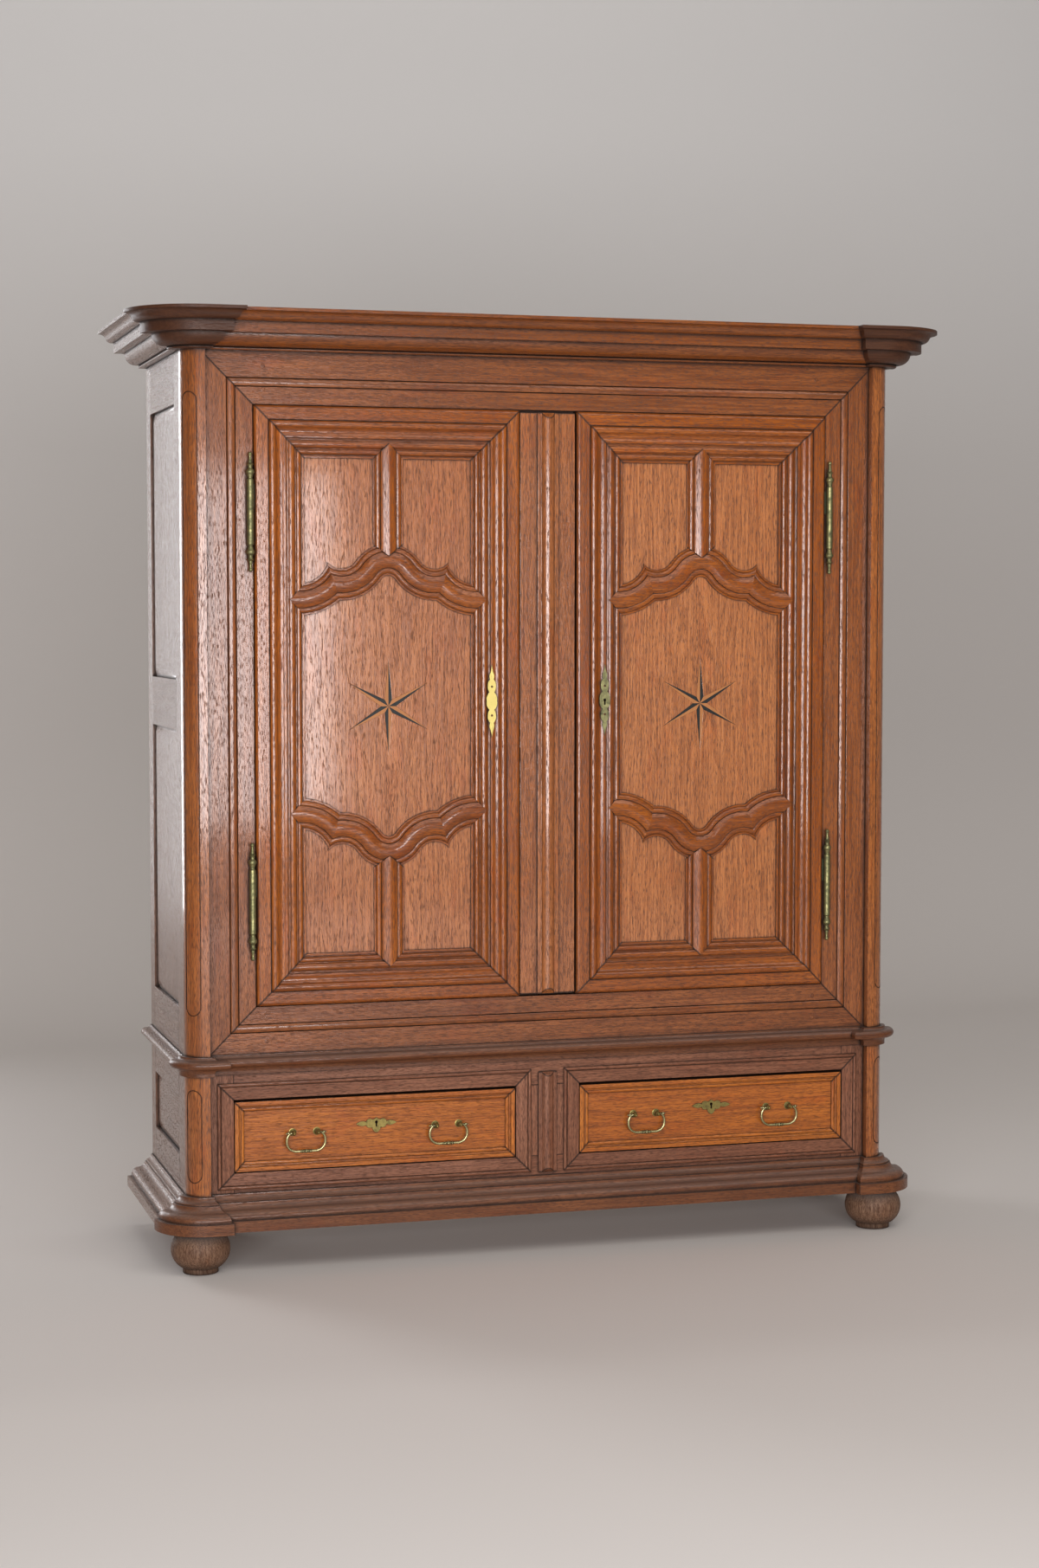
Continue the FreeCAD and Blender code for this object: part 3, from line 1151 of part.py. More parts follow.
def build_drawer(side, name):
    x = side * DRAWER_MID_X
    x0, x1 = sorted((side * (DRAWER_X0 + DRAWER_GAP), side * (DRAWER_X1 - DRAWER_GAP)))
    z0 = DRAWER_Z0 + DRAWER_GAP
    z1 = DRAWER_Z1 - DRAWER_TOP_GAP
    y0 = DRAWER_FACE_Y
    y1 = y0 + DRAWER_FRONT_T
    y2 = INSIDE_BACK - DRAWER_BACK_GAP
    t = DRAWER_SIDE_T
    floor0 = z0 + DRAWER_BOTTOM_UP
    floor1 = floor0 + DRAWER_BOTTOM_T
    top = z1 - DRAWER_SIDE_DROP
    tongue = DRAWER_BOTTOM_TONGUE
    plate_z = DRAWER_MID_Z + DRAWER_PLATE_UP
    bottom = box(x0 + t - tongue, x1 - t + tongue, y1 - tongue, y2, floor0, floor1)
    boards = [box(x0, x0 + t, y1, y2, z0, top), box(x1 - t, x1, y1, y2, z0, top)]
    boards = [less(board, [bottom]) for board in boards]
    boards.append(box(x0 + t, x1 - t, y2 - t, y2, floor1, top))
    hole = keyhole(x, plate_z + DRAWER_KEYHOLE_UP, y0, y1)
    e = DRAWER_EDGE_W
    start = "drawer_" + name
    write(start + "_front", [less(box(x0, x1, y0, y1, z0, z1), [bottom, hole])])
    field = (x0 + e, x1 - e, z0 + e, z1 - e)
    write(start + "_moulding", mitred_frame(field, [e] * 4, drawer_edge_steps, y0))
    write(start + "_box", boards)
    write(start + "_bottom", [bottom])
    write(start + "_lock", [box(x - DRAWER_LOCK_W / 2, x + DRAWER_LOCK_W / 2, y1, y1 + DRAWER_LOCK_T,
                                top - DRAWER_LOCK_H, top)])
    fittings = [drawer_plate(x, plate_z)]
    bail_z = DRAWER_MID_Z + BAIL_UP
    for way, hand in zip(SIDES, NAMES):
        bail_x = x + way * BAIL_SPACING / 2
        fittings += [handle_post(bail_x + end * BAIL_POST_X, bail_z) for end in SIDES]
        write(start + "_bail_" + hand, [bail(bail_x, bail_z)])
    write(start + "_fittings", fittings)


os.makedirs("parts", exist_ok=True)
build_base()
build_sides()
build_front()
build_inside()
build_cornice()
build_meeting_strip()
build_bolt()
build_lock()
for hand_side, hand_name in zip(SIDES, NAMES):
    build_door(hand_side, hand_name)
    build_drawer(hand_side, hand_name)
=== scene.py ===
"""A waxed oak hall cupboard: its boards with worn edges and grain, its brass and iron, and a pale studio."""

import json
import math
import random

import bmesh
import bpy
from mathutils import Matrix, Vector
from mathutils.kdtree import KDTree


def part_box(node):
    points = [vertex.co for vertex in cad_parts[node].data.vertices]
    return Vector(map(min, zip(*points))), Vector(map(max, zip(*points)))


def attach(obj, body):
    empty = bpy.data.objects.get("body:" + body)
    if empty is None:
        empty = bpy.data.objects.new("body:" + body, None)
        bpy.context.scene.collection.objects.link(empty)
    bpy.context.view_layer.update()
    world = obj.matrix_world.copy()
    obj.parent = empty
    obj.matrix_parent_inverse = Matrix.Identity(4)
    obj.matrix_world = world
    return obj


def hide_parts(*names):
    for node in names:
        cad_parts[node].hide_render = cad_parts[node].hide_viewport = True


# Camera, in metres and degrees; the picture is 1200 by 1811
PICTURE_HEIGHT = 1811
FOCAL_PIXELS = 3137.15
SENSOR = 36.0
CAMERA_AT = (-1.81719, -6.19020, 1.47986)
CAMERA_TURN = 16.25
CAMERA_TILT = -3.61

# Boards
WELD = 2e-5
FLAT_ANGLE = math.radians(1.0)
ARRIS_ANGLE = math.radians(24)
SMOOTH_ANGLE = math.radians(38)
BEVEL_STEPS = 2
MOST_BEVEL_FACES = 900
BOARD_SEED = 4711
HEART_NEAR = 0.03
HEART_FAR = 0.16
HEART_SIDE = 0.05
LOG_LENGTH = 9.0
# How much paler an upright board is made: a painted sheen
UPRIGHT_PAINTED_SHEEN = 0.4
END_LEAN = 0.6
END_FACE = 0.97
MITRE = 0.9
SQUARE = 0.999
LEAST_BOARD = 0.08

# Handles: the bow runs from a pin's end to the middle of the rail, as distances across and up from the pins
KNUCKLE = 0.0043
HANDLE_WIRE = 0.0029
HANDLE_BOW = ((0.0365, 0.0), (0.0415, -0.006), (0.0444, -0.016), (0.0415, -0.031), (0.029, -0.0408),
              (0.014, -0.042), (0.0, -0.042))
PIN_IN = 0.023
PIN_OUT = 0.041
PIN_RADIUS = 0.0023
ACORN = ((0.0410, 0.0032, 0.0040), (0.0450, 0.0020, 0.0017))
RINGS = ((0.0046, 0.0014, 0.0042), (0.0080, 0.0016, 0.0047), (0.0116, 0.0014, 0.0040))
MIDDLE_BEAD = (0.0030, 0.0052)
BEND_STEPS = 8
WIRE_STEPS = 3
BEAD_AROUND = 20
BEAD_ALONG = 12
PIN_SIDES = 20

# Studio
FLOOR_FRONT = -9.0
FLOOR_BACK = 3.0
SWEEP_RADIUS = 1.6
WALL_TOP = 7.0
STAGE_HALF = 9.0
SWEEP_STEPS = 24

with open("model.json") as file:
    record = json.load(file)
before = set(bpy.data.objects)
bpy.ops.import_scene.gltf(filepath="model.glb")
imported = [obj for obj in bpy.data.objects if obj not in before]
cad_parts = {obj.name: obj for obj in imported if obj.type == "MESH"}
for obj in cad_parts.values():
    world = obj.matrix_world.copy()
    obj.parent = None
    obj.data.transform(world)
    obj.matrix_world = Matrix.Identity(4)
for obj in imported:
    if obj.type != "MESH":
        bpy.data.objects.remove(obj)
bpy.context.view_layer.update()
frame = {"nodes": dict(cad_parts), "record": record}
nodes = frame["nodes"]
slot_of = {row["node"]: row["material_slot"] for row in frame["record"]["subparts"]}
body_of = {node: body for body, group in frame["record"]["behaviour"]["bodies"].items() for node in group}


# Shader sockets with arithmetic

class Value:
    """A socket of a finish's node tree; arithmetic on it adds Math nodes."""

    def __init__(self, finish, socket):
        self.finish = finish
        self.socket = socket

    def math(self, operation, *values):
        return self.finish.node("ShaderNodeMath", {"operation": operation}, dict(enumerate(values)))

    def fract(self):
        return self.math("FRACT", self)

    def larger(self, other):
        return self.math("MAXIMUM", self, other)

    def smaller(self, other):
        return self.math("MINIMUM", self, other)

    def __add__(self, other):
        return self.math("ADD", self, other)

    def __sub__(self, other):
        return self.math("SUBTRACT", self, other)

    def __rsub__(self, other):
        return self.math("SUBTRACT", other, self)

    def __mul__(self, other):
        return self.math("MULTIPLY", self, other)

    def __truediv__(self, other):
        return self.math("DIVIDE", self, other)

    def __pow__(self, other):
        return self.math("POWER", self, other)

    __radd__ = __add__
    __rmul__ = __mul__


class Finish:
    """A material, or the world, and the few kinds of node that its recipes use."""

    def __init__(self, name, world=False):
        self.material = (bpy.data.worlds if world else bpy.data.materials).new(name)
        self.material.use_nodes = True
        self.tree = self.material.node_tree
        self.shader = self.tree.nodes["Background" if world else "Principled BSDF"]

    def node(self, kind, settings=None, values=None, out=0):
        made = self.tree.nodes.new(kind)
        for name, value in (settings or {}).items():
            setattr(made, name, value)
        for key, value in (values or {}).items():
            if isinstance(value, Value):
                self.tree.links.new(value.socket, made.inputs[key])
            else:
                made.inputs[key].default_value = value
        return Value(self, made.outputs[out])

    def attribute(self, name, out):
        return self.node("ShaderNodeAttribute", {"attribute_name": name}, out=out)

    def place(self):
        return self.node("ShaderNodeTexCoord", out="Object")

    def stretch(self, vector, scale):
        return self.node("ShaderNodeVectorMath", {"operation": "MULTIPLY"}, {0: vector, 1: scale})

    def noise(self, vector, scale=1.0, detail=3.0, roughness=0.55):
        return self.node("ShaderNodeTexNoise", None, {
            "Vector": vector, "Scale": scale, "Detail": detail, "Roughness": roughness})

    def parts(self, vector):
        made = self.node("ShaderNodeSeparateXYZ", None, {0: vector}).socket.node
        return [Value(self, socket) for socket in made.outputs]

    def ramp(self, value, low, high):
        """0 at low, 1 at high, smooth between; low may be the larger."""
        return self.node("ShaderNodeMapRange", {"interpolation_type": "SMOOTHSTEP"},
                         {"Value": value, "From Min": low, "From Max": high})

    def mix(self, factor, first, second, blend="MIX"):
        return self.node("ShaderNodeMix", {"data_type": "RGBA", "blend_type": blend},
                         {0: factor, 6: first, 7: second}, out=2)

    def recess(self, reach):
        """1 in the open, towards 0 where the surface is shut in."""
        return self.node("ShaderNodeAmbientOcclusion", {"samples": RECESS_SAMPLES}, {"Distance": reach},
                         out="AO")

    def bump(self, height, depth, strength, normal=None):
        values = {"Height": height, "Distance": depth, "Strength": strength}
        if normal:
            values["Normal"] = normal
        return self.node("ShaderNodeBump", None, values)

    def done(self, **sockets):
        for name, value in sockets.items():
            socket = self.shader.inputs[name.replace("_", " ")]
            if isinstance(value, Value):
                self.tree.links.new(value.socket, socket)
            else:
                socket.default_value = value
        return self.material


def tint(red, green, blue):
    return (red, green, blue, 1.0)


# Finishes

# Near black: the dirt in the joints, and the painted shade in corners and hollows
DIRT_AND_SHADE = tint(0.012, 0.007, 0.005)
PORE = tint(0.060, 0.022, 0.011)
WARM = tint(1.0, 0.70, 0.50)
SHADE = tint(0.50, 0.42, 0.38)
DUST = tint(0.26, 0.23, 0.21)
RECESS_SAMPLES = 6

# Growth rings in metres, and how fine the other patterns are along the grain, across it and into the board
RING = 0.0070
WANDER = (1.5, 6.0, 6.0)
FLECKS = (70.0, 860.0, 860.0)
BANDS = (3.0, 75.0, 75.0)
PATCHES = (7.0, 22.0, 22.0)
LINES = (7.0, 190.0, 190.0)

# Dirt and painted shade, in metres: the dirt line at a joint, and the reach of the painted shade in a corner
# and in a hollow
JOINT_CLEAN = 0.0030
JOINT_DARK = 0.0010
CORNER_SHADE_REACH = 0.010
HOLLOW_SHADE_REACH = 0.045


def oak(name, pale, deep, gloss=0.22, pores=0.7, figure=0.5, coat=0.65, dust=0.0):
    """Waxed oak: growth rings about a heart, pores along the grain, warm patches, dirt at the joints and
    painted shade in the corners and hollows.
    """
    finish = Finish(name)
    grain = finish.attribute("grain", "Vector")
    tone = finish.attribute("tone", "Fac")
    _, across, depth = finish.parts(grain)
    wander = finish.noise(finish.stretch(grain, WANDER))
    ring = ((across * across + depth * depth) ** 0.5 + wander * 0.06) / RING
    late = finish.ramp(ring.fract(), 0.0, 0.9)
    fleck = finish.noise(finish.stretch(grain, FLECKS), detail=1.0, roughness=0.5)
    pore = finish.ramp(fleck + late * 0.10 * figure, 0.52, 0.42)
    band = finish.noise(finish.stretch(grain, BANDS), detail=4.0, roughness=0.65)
    # The tone holds a painted sheen that makes upright boards paler
    cloud = finish.ramp(wander * 0.5 + band * 0.35 + tone * 0.4, 0.40, 0.86)
    wood = finish.mix(cloud, deep, pale)
    patch = finish.noise(finish.stretch(grain, PATCHES), detail=5.0, roughness=0.65)
    wood = finish.mix(finish.ramp(patch, 0.52, 0.68) * 0.45, wood, WARM, "MULTIPLY")
    line = finish.noise(finish.stretch(grain, LINES), detail=4.0, roughness=0.7)
    wood = finish.mix(finish.ramp(line, 0.58, 0.38) * 0.75, wood, SHADE, "MULTIPLY")
    wood = finish.mix((1 - late) * figure * 0.5, wood, deep)
    wood = finish.mix(pore * pores, wood, PORE)
    first, second, _ = finish.parts(finish.attribute("ends", "Vector"))
    joint = finish.ramp(first.smaller(second), JOINT_CLEAN, JOINT_DARK) * 0.85
    # Painted shade: the wood is darkened where corners and hollows shut the surface in
    corner = finish.ramp(finish.recess(CORNER_SHADE_REACH), 0.92, 0.56)
    hollow_shade = finish.ramp(finish.recess(HOLLOW_SHADE_REACH) + band * 0.15, 0.90, 0.32) * 0.6
    # The dirt line at the joints together with the painted shade of corners and hollows
    dirt_and_shade = joint.larger(corner.larger(hollow_shade))
    wood = finish.mix(dirt_and_shade * 0.92, wood, DIRT_AND_SHADE)
    if dust:
        up = finish.parts(finish.node("ShaderNodeNewGeometry", out="Normal"))[2]
        lying = finish.ramp(up + patch * 0.6 - 0.3, 0.15, 0.95) * dust
        wood = finish.mix(lying, wood, DUST)
    waver = finish.bump(finish.noise(finish.place(), scale=7.0, detail=2.0), 0.004, 0.14)
    figured = finish.bump(fleck, 0.0006, 0.5, waver)
    shine = gloss + pore * 0.3 + dirt_and_shade * 0.3 + (band - 0.5) * 0.2
    film = (1 - pore.larger(dirt_and_shade)) * coat
    return finish.done(Base_Color=wood, Roughness=shine, Specular_IOR_Level=0.3, Coat_Weight=film,
                       Coat_Roughness=0.08, Normal=figured)


def brass(name, bright, tarnish, amount, gloss):
    """Cast brass, dark with age in the hollows and rubbed bright outside."""
    finish = Finish(name)
    place = finish.place()
    patch = finish.noise(place, scale=85.0, detail=4.0, roughness=0.65)
    shut = finish.recess(0.006)
    old = finish.ramp(patch * 0.8 + (1 - shut) * 0.9, 0.75 - amount, 1.05 - amount * 0.6)
    colour = finish.mix(old, bright, tarnish)
    grit = finish.bump(finish.noise(place, scale=420.0, detail=3.0), 0.0004, 0.35)
    return finish.done(Base_Color=colour, Metallic=1.0 - old * 0.35, Roughness=gloss + old * 0.3,
                       Normal=grit)


def iron():
    """Forged iron with a brown skin."""
    finish = Finish("forged iron")
    place = finish.place()
    skin = finish.noise(place, scale=60.0, detail=5.0, roughness=0.65)
    colour = finish.mix(finish.ramp(skin, 0.42, 0.68), tint(0.055, 0.050, 0.048), tint(0.11, 0.06, 0.035))
    dents = finish.bump(finish.noise(place, scale=180.0, detail=3.0), 0.0006, 0.5)
    return finish.done(Base_Color=colour, Metallic=0.75, Roughness=0.45 + skin * 0.25, Normal=dents)


def inlay():
    """Stained and pale veneers of the star; the attribute says which."""
    finish = Finish("star inlay")
    place = finish.place()
    stained = finish.attribute("tone", "Fac")
    line = finish.noise(finish.stretch(place, (500.0, 500.0, 90.0)), detail=2.0)
    dark = finish.mix(line, tint(0.008, 0.009, 0.009), tint(0.032, 0.032, 0.030))
    light = finish.mix(line, tint(0.36, 0.135, 0.046), tint(0.46, 0.20, 0.07))
    return finish.done(Base_Color=finish.mix(stained, light, dark), Roughness=0.42,
                       Specular_IOR_Level=0.2)


finishes = {
    "oak": oak("waxed oak", tint(0.32, 0.098, 0.024), tint(0.19, 0.054, 0.013)),
    # Paler oak for the meeting strip and the corner columns: a painted sheen of the glare on them
    "strip": oak("strip oak with painted sheen", tint(0.44, 0.150, 0.045), tint(0.30, 0.095, 0.027), 0.18, coat=0.85),
    "column": oak("column oak with painted sheen", tint(0.43, 0.138, 0.032), tint(0.29, 0.082, 0.018), 0.18, coat=0.85),
    "door": oak("door frame oak", tint(0.41, 0.112, 0.012), tint(0.27, 0.066, 0.007), 0.20),
    "cornice": oak("cornice oak", tint(0.34, 0.102, 0.019), tint(0.21, 0.058, 0.011), 0.22),
    "corner": oak("corner oak", tint(0.13, 0.048, 0.020), tint(0.070, 0.025, 0.011), 0.38, coat=0.0),
    # Paler, greyer oak for the sides: a painted sheen of the glancing light on them
    "side": oak("side oak with painted sheen", tint(0.34, 0.170, 0.105), tint(0.23, 0.105, 0.062), 0.24),
    "base": oak("dull oak", tint(0.30, 0.120, 0.062), tint(0.20, 0.073, 0.036), 0.34, coat=0.3),
    "panel": oak("door panel oak", tint(0.49, 0.178, 0.056), tint(0.37, 0.114, 0.030), 0.25, figure=0.9,
                 coat=0.85),
    "oak_dark": oak("base oak", tint(0.27, 0.095, 0.032), tint(0.150, 0.050, 0.018), 0.32, coat=0.25,
                    dust=0.2),
    "foot": oak("foot oak", tint(0.215, 0.118, 0.070), tint(0.120, 0.062, 0.036), 0.55, coat=0.0, dust=0.3),
    "oak_drawer": oak("drawer oak", tint(0.55, 0.168, 0.016), tint(0.40, 0.104, 0.008), 0.32, pores=0.55),
    "softwood": oak("bare softwood", tint(0.42, 0.27, 0.15), tint(0.30, 0.17, 0.085), 0.72, 0.25, coat=0.0),
    "inlay": inlay(),
    "brass": brass("aged brass", tint(0.36, 0.33, 0.15), tint(0.045, 0.050, 0.025), 0.60, 0.34),
    "handle": brass("handle brass", tint(0.50, 0.45, 0.23), tint(0.055, 0.055, 0.028), 0.44, 0.26),
    "fitting": brass("fitting brass", tint(0.31, 0.245, 0.080), tint(0.060, 0.046, 0.016), 0.52, 0.36),
    "bright": brass("rubbed brass", tint(0.58, 0.46, 0.15), tint(0.14, 0.10, 0.03), 0.30, 0.28),
    "iron": iron(),
}


# Boards made from the solids

def solids(mesh):
    """The faces of each closed solid, in the order in which the mesh lists them."""
    tree = KDTree(len(mesh.vertices))
    for vertex in mesh.vertices:
        tree.insert(vertex.co, vertex.index)
    tree.balance()
    first = [min(index for _, index, _ in tree.find_range(vertex.co, WELD)) for vertex in mesh.vertices]
    groups = []
    group = []
    unmatched = set()
    for face in mesh.polygons:
        corners = [first[index] for index in face.vertices]
        group.append(face.index)
        for pair in zip(corners, corners[1:] + corners[:1]):
            unmatched ^= {frozenset(pair)}
        if not unmatched:
            groups.append(group)
            group = []
    return groups


def worn(mesh, keep, wear):
    """One solid of a mesh as clean faces with its arrises taken off."""
    board = bmesh.new()
    board.from_mesh(mesh)
    board.faces.ensure_lookup_table()
    kept = set(keep)
    rest = [face for face in board.faces if face.index not in kept]
    bmesh.ops.delete(board, geom=rest, context="FACES")
    bmesh.ops.remove_doubles(board, verts=board.verts, dist=WELD)
    bmesh.ops.dissolve_limit(board, angle_limit=FLAT_ANGLE, verts=board.verts, edges=board.edges)
    if wear and len(board.faces) < MOST_BEVEL_FACES:
        arrises = [edge for edge in board.edges if edge.is_manifold and edge.calc_face_angle() > ARRIS_ANGLE]
        bmesh.ops.bevel(board, geom=arrises, offset=wear, offset_type="OFFSET", segments=BEVEL_STEPS,
                        profile=0.5, affect="EDGES", clamp_overlap=True, material=-1)
    return board


def end_planes(board, axis):
    """The flat cut at each end of a board that runs along an axis, as a point and a normal."""
    planes = []
    for way in (-1, 1):
        cuts = [face for face in board.faces if face.normal[axis] * way > END_LEAN]
        if cuts:
            cut = max(cuts, key=lambda face: face.calc_area())
            point = cut.calc_center_median()
            scarfed = MITRE < abs(cut.normal[axis]) < SQUARE
            if not scarfed and all((point - vertex.co).dot(cut.normal) > -WELD for vertex in board.verts):
                planes.append((point, cut.normal.copy()))
    return planes


def set_grain(board, chance, upright):
    """Writes where each point lies in its log, how pale the board is (at random, and paler when upright as a
    painted sheen), and how far off its ends are.
    """
    low = Vector(min(vertex.co[i] for vertex in board.verts) for i in range(3))
    high = Vector(max(vertex.co[i] for vertex in board.verts) for i in range(3))
    order = sorted(range(3), key=lambda i: low[i] - high[i])
    if upright:
        order = [2, 0, 1]
    middle = (low + high) / 2
    shift = (chance.uniform(0, LOG_LENGTH), chance.uniform(-HEART_SIDE, HEART_SIDE),
             chance.uniform(HEART_NEAR, HEART_FAR))
    tone = chance.uniform(0.0, 0.6)
    # Upright boards are made paler: a painted sheen of the glare that upright grain catches
    if order[0] == 2:
        tone += UPRIGHT_PAINTED_SHEEN
    planes = end_planes(board, order[0]) if high[order[0]] - low[order[0]] > LEAST_BOARD else []
    grain_layer = board.verts.layers.float_vector.new("grain")
    tone_layer = board.verts.layers.float.new("tone")
    ends_layer = board.loops.layers.float_vector.new("ends")
    for vertex in board.verts:
        vertex[grain_layer] = [vertex.co[axis] - middle[axis] + move for axis, move in zip(order, shift)]
        vertex[tone_layer] = tone
    for face in board.faces:
        sides = [plane for plane in planes if plane[1].dot(face.normal) < END_FACE]
        for loop in face.loops:
            away = [(point - loop.vert.co).dot(normal) for point, normal in sides]
            loop[ends_layer] = (away + [1.0, 1.0])[:2] + [0.0]


def joined(node, wear, mark):
    """All solids of a node, each cleaned, worn and marked by itself."""
    source = nodes[node].data
    whole = bmesh.new()
    part = bpy.data.meshes.new(node + "_part")
    for group in solids(source):
        board = worn(source, group, wear)
        mark(board)
        board.to_mesh(part)
        board.free()
        whole.from_mesh(part)
    bpy.data.meshes.remove(part)
    return whole


def stand_for(node, work, finish):
    """Makes the piece that stands for a node, on the node's body."""
    mesh = bpy.data.meshes.new(node + "_worked")
    work.to_mesh(mesh)
    work.free()
    mesh.materials.append(finishes[finish])
    piece = bpy.data.objects.new(node + "_worked", mesh)
    bpy.context.scene.collection.objects.link(piece)
    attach(piece, body_of[node])
    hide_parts(node)
    return piece


def boards(node, finish, wear, upright):
    """A piece for a node of wood: each of its boards with worn edges and its own grain."""
    chance = random.Random(BOARD_SEED + sorted(nodes).index(node))
    whole = joined(node, wear, lambda board: set_grain(board, chance, upright))
    for face in whole.faces:
        face.smooth = True
        face.material_index = 0
    for edge in whole.edges:
        edge.smooth = edge.is_manifold and edge.calc_face_angle() < SMOOTH_ANGLE
    flats = stand_for(node, whole, finish).modifiers.new("flats", "WEIGHTED_NORMAL")
    flats.keep_sharp = True


def finish_of(node):
    """The finish for a node of wood."""
    if node.endswith("_panel"):
        return "panel"
    if node.startswith("side_") or node.endswith("_sides"):
        return "side"
    if node.startswith("door_"):
        return "door"
    if node.startswith("meeting_strip"):
        return "strip"
    if node == "corner_columns":
        return "column"
    if node.startswith("base_front"):
        return "base"
    if node == "cornice_corners":
        return "corner"
    if node.startswith("cornice"):
        return "cornice"
    if node == "bun_feet":
        return "foot"
    return slot_of[node]


ARRIS_WEAR = {"oak": 0.0009, "oak_dark": 0.0013, "oak_drawer": 0.0007, "softwood": 0.0010}

for name in sorted(nodes):
    if slot_of[name] in ARRIS_WEAR:
        boards(name, finish_of(name), ARRIS_WEAR[slot_of[name]], name == "bun_feet")


# Star inlay

def stain(ray, middle):
    """Marks a half ray dark if it is on the left of its ray, looking out from the star's middle."""
    tip = max(ray.verts, key=lambda vertex: (vertex.co - middle).xz.length).co - middle
    centre = sum((vertex.co for vertex in ray.verts), Vector()) / len(ray.verts) - middle
    layer = ray.verts.layers.float.new("tone")
    stained = tip.x * centre.z - tip.z * centre.x < 0
    for vertex in ray.verts:
        vertex[layer] = float(stained)


def star(node):
    """The star's rays, half of each in dark veneer and half in pale."""
    low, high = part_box(node)
    middle = (low + high) / 2
    stand_for(node, joined(node, 0, lambda ray: stain(ray, middle)), "inlay")


for side in ("left", "right"):
    star(f"door_{side}_star")


# Handles

def ball(mesh, place, length, radius):
    """A turned bead whose length lies along the rail of the handle."""
    shape = Matrix.Translation(place) @ Matrix.Diagonal((length, radius, radius, 1.0))
    bmesh.ops.create_uvsphere(mesh, u_segments=BEAD_AROUND, v_segments=BEAD_ALONG, radius=1.0, matrix=shape)


def settle(group, place):
    """Lists points or faces by where they are, so that every run gives them in the same order."""
    order = sorted(group, key=lambda item: tuple(place(item)))
    rank = {item: number for number, item in enumerate(order)}
    group.sort(key=rank.get)


def handle(node):
    """A bowed wire handle on its two pins, with an acorn at each end and turned rings in the middle."""
    low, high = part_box(node)
    hang = Vector(((low.x + high.x) / 2, (low.y + high.y) / 2, high.z - KNUCKLE))
    line = [(-x, z) for x, z in HANDLE_BOW] + [(x, z) for x, z in reversed(HANDLE_BOW[:-1])]
    bend = bpy.data.curves.new(node + "_bend", "CURVE")
    bend.dimensions = "3D"
    bend.resolution_u = BEND_STEPS
    bend.bevel_depth = HANDLE_WIRE
    bend.bevel_resolution = WIRE_STEPS
    bend.use_fill_caps = True
    spline = bend.splines.new("BEZIER")
    spline.bezier_points.add(len(line) - 1)
    for point, (x, z) in zip(spline.bezier_points, line):
        point.co = hang + Vector((x, 0, z))
        point.handle_left_type = "AUTO"
        point.handle_right_type = "AUTO"
    carrier = bpy.data.objects.new(node + "_bend", bend)
    bent = bpy.data.meshes.new_from_object(carrier)
    work = bmesh.new()
    work.from_mesh(bent)
    bpy.data.objects.remove(carrier)
    bpy.data.curves.remove(bend)
    bpy.data.meshes.remove(bent)
    bmesh.ops.remove_doubles(work, verts=work.verts, dist=WELD)
    for way in (-1, 1):
        pin = Matrix.Translation(hang + Vector((way * (PIN_IN + PIN_OUT) / 2, 0, 0)))
        bmesh.ops.create_cone(work, cap_ends=True, segments=PIN_SIDES, radius1=PIN_RADIUS,
                              radius2=PIN_RADIUS, depth=PIN_OUT - PIN_IN,
                              matrix=pin @ Matrix.Rotation(math.pi / 2, 4, "Y"))
        for x, length, radius in ACORN:
            ball(work, hang + Vector((way * x, 0, 0)), length, radius)
        for x, length, radius in RINGS:
            ball(work, hang + Vector((way * x, 0, HANDLE_BOW[-1][1])), length, radius)
    ball(work, hang + Vector((0, 0, HANDLE_BOW[-1][1])), *MIDDLE_BEAD)
    bmesh.ops.recalc_face_normals(work, faces=work.faces)
    for face in work.faces:
        face.smooth = True
    settle(work.verts, lambda vertex: vertex.co)
    settle(work.faces, lambda face: face.calc_center_median())
    stand_for(node, work, "handle")


def metal_of(node):
    """The finish for a node of metal."""
    if node == "door_left_escutcheon":
        return "bright"
    if node.endswith("_fittings"):
        return "fitting"
    return slot_of[node]


# Other metal keeps its solids
for name, node in nodes.items():
    if slot_of[name] in ("brass", "iron"):
        node.data.materials.clear()
        node.data.materials.append(finishes[metal_of(name)])

for side in ("left", "right"):
    for hand in ("left", "right"):
        handle(f"drawer_{side}_bail_{hand}")


# Studio

# Painted light on the stage: the wall darker low down and lighter high up, the floor lighter towards the
# front
WALL_LOW_PAINTED_DIM = tint(0.66, 0.615, 0.585)
WALL_HIGH_PAINTED_LIT = tint(0.76, 0.737, 0.722)
FLOOR_FAR_PAINTED_DIM = tint(0.75, 0.70, 0.665)
FLOOR_NEAR_PAINTED_LIT = tint(0.90, 0.855, 0.82)
ROOM_LIGHT = tint(0.14, 0.137, 0.134)
ROOM_SEEN = tint(0.22, 0.211, 0.204)


def pulled(stage, edge, move):
    """Draws an edge out into a flat strip and returns the strip's far edge."""
    out = bmesh.ops.extrude_edge_only(stage, edges=[edge])["geom"]
    corners = [item for item in out if isinstance(item, bmesh.types.BMVert)]
    bmesh.ops.translate(stage, vec=move, verts=corners)
    return next(item for item in out if isinstance(item, bmesh.types.BMEdge) and
                all(vertex in corners for vertex in item.verts))


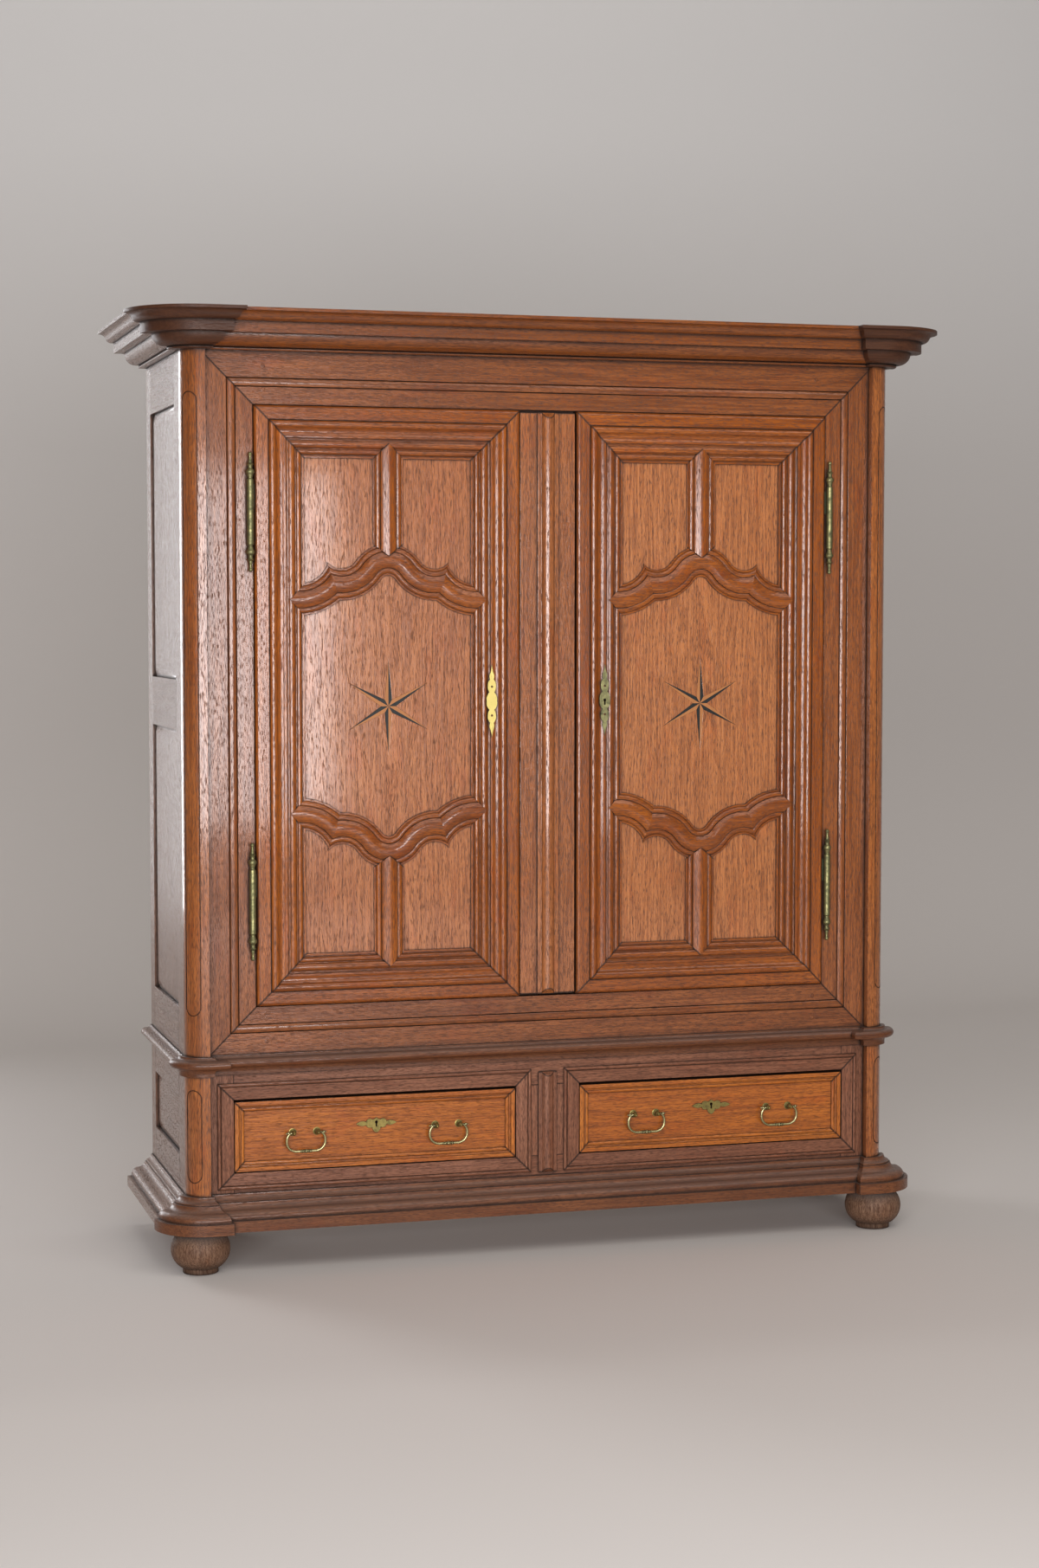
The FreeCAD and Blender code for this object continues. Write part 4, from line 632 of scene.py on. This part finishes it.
def sweep():
    """A floor that curves up into a wall behind, painted lighter up the wall and towards the front of the
    floor as painted light; the wall is clear from outside, for views of the back.
    """
    stage = bmesh.new()
    ends = [stage.verts.new((x, FLOOR_FRONT, 0)) for x in (-STAGE_HALF, STAGE_HALF)]
    edge = pulled(stage, stage.edges.new(ends), Vector((0, FLOOR_BACK - FLOOR_FRONT, 0)))
    turned = bmesh.ops.spin(stage, geom=[edge], cent=(0, FLOOR_BACK, SWEEP_RADIUS), axis=(1, 0, 0),
                            angle=math.pi / 2, steps=SWEEP_STEPS)["geom_last"]
    edge = next(item for item in turned if isinstance(item, bmesh.types.BMEdge))
    pulled(stage, edge, Vector((0, 0, WALL_TOP - SWEEP_RADIUS)))
    bmesh.ops.recalc_face_normals(stage, faces=stage.faces)
    stage.faces.ensure_lookup_table()
    if stage.faces[0].normal.z < 0:
        bmesh.ops.reverse_faces(stage, faces=stage.faces)
    for face in stage.faces:
        face.smooth = True
    mesh = bpy.data.meshes.new("sweep")
    stage.to_mesh(mesh)
    stage.free()
    piece = bpy.data.objects.new("sweep", mesh)
    bpy.context.scene.collection.objects.link(piece)
    finish = Finish("painted sweep")
    place = finish.place()
    _, ahead, height = finish.parts(place)
    cloud = finish.noise(place, scale=0.5, detail=2.0)
    # Painted light: the wall grows lighter upwards and the floor lighter towards the front
    wall = finish.mix(finish.ramp(height + cloud * 0.8, 1.0, 4.2), WALL_LOW_PAINTED_DIM, WALL_HIGH_PAINTED_LIT)
    floor = finish.mix(finish.ramp(ahead, -1.0, -4.0), FLOOR_FAR_PAINTED_DIM, FLOOR_NEAR_PAINTED_LIT)
    colour = finish.mix(finish.ramp(height, 0.0, 1.2), floor, wall)
    outside = finish.node("ShaderNodeNewGeometry", out="Backfacing")
    mesh.materials.append(finish.done(Base_Color=colour, Roughness=0.9, Alpha=1 - outside))


def window(name, place, aim, size, power, colour, spread=180):
    """A soft rectangular light turned towards a point."""
    light = bpy.data.lights.new(name, "AREA")
    light.shape = "RECTANGLE"
    light.size, light.size_y = size
    light.energy = power
    light.color = colour
    light.spread = math.radians(spread)
    lamp = bpy.data.objects.new(name, light)
    lamp.location = place
    lamp.visible_camera = False
    lamp.rotation_mode = "QUATERNION"
    lamp.rotation_quaternion = (Vector(aim) - Vector(place)).to_track_quat("-Z", "Y")
    bpy.context.scene.collection.objects.link(lamp)


sweep()
window("front window", place=(-1.75, -6.9, 1.3), aim=(0.0, 0.0, 1.3), size=(5.9, 1.75), power=385,
       colour=(0.98, 0.98, 1.0))
window("overhead", place=(0.6, -3.2, 4.6), aim=(0.0, 0.0, 0.9), size=(5.0, 3.0), power=78,
       colour=(1.0, 0.97, 0.93))
window("side glow", place=(-2.5, 3.4, 1.75), aim=(-0.9, 0.0, 1.2), size=(1.3, 2.8), power=19,
       colour=(0.96, 0.97, 1.0), spread=90)
window("wall light", place=(1.2, 1.4, 6.5), aim=(1.4, 4.6, 2.2), size=(7.0, 0.8), power=55,
       colour=(1.0, 0.98, 0.96))

room = Finish("room", world=True)
camera_ray, glossy_ray, clear_ray = [room.node("ShaderNodeLightPath", out=f"Is {kind} Ray")
                                     for kind in ("Camera", "Glossy", "Transmission")]
seen = camera_ray + glossy_ray + clear_ray
room.done(Color=room.mix(seen, ROOM_LIGHT, ROOM_SEEN), Strength=1.0)
bpy.context.scene.world = room.material

camera_data = bpy.data.cameras.new("camera")
camera_data.sensor_width = SENSOR
camera_data.lens = SENSOR * FOCAL_PIXELS / PICTURE_HEIGHT
camera = bpy.data.objects.new("camera", camera_data)
camera.location = CAMERA_AT
turn = math.radians(CAMERA_TURN)
tilt = math.radians(CAMERA_TILT)
look = Vector((math.sin(turn) * math.cos(tilt), math.cos(turn) * math.cos(tilt), math.sin(tilt)))
camera.rotation_mode = "QUATERNION"
camera.rotation_quaternion = look.to_track_quat("-Z", "Y")
bpy.context.scene.collection.objects.link(camera)
bpy.context.scene.camera = camera
bpy.context.scene.view_settings.view_transform = "Standard"
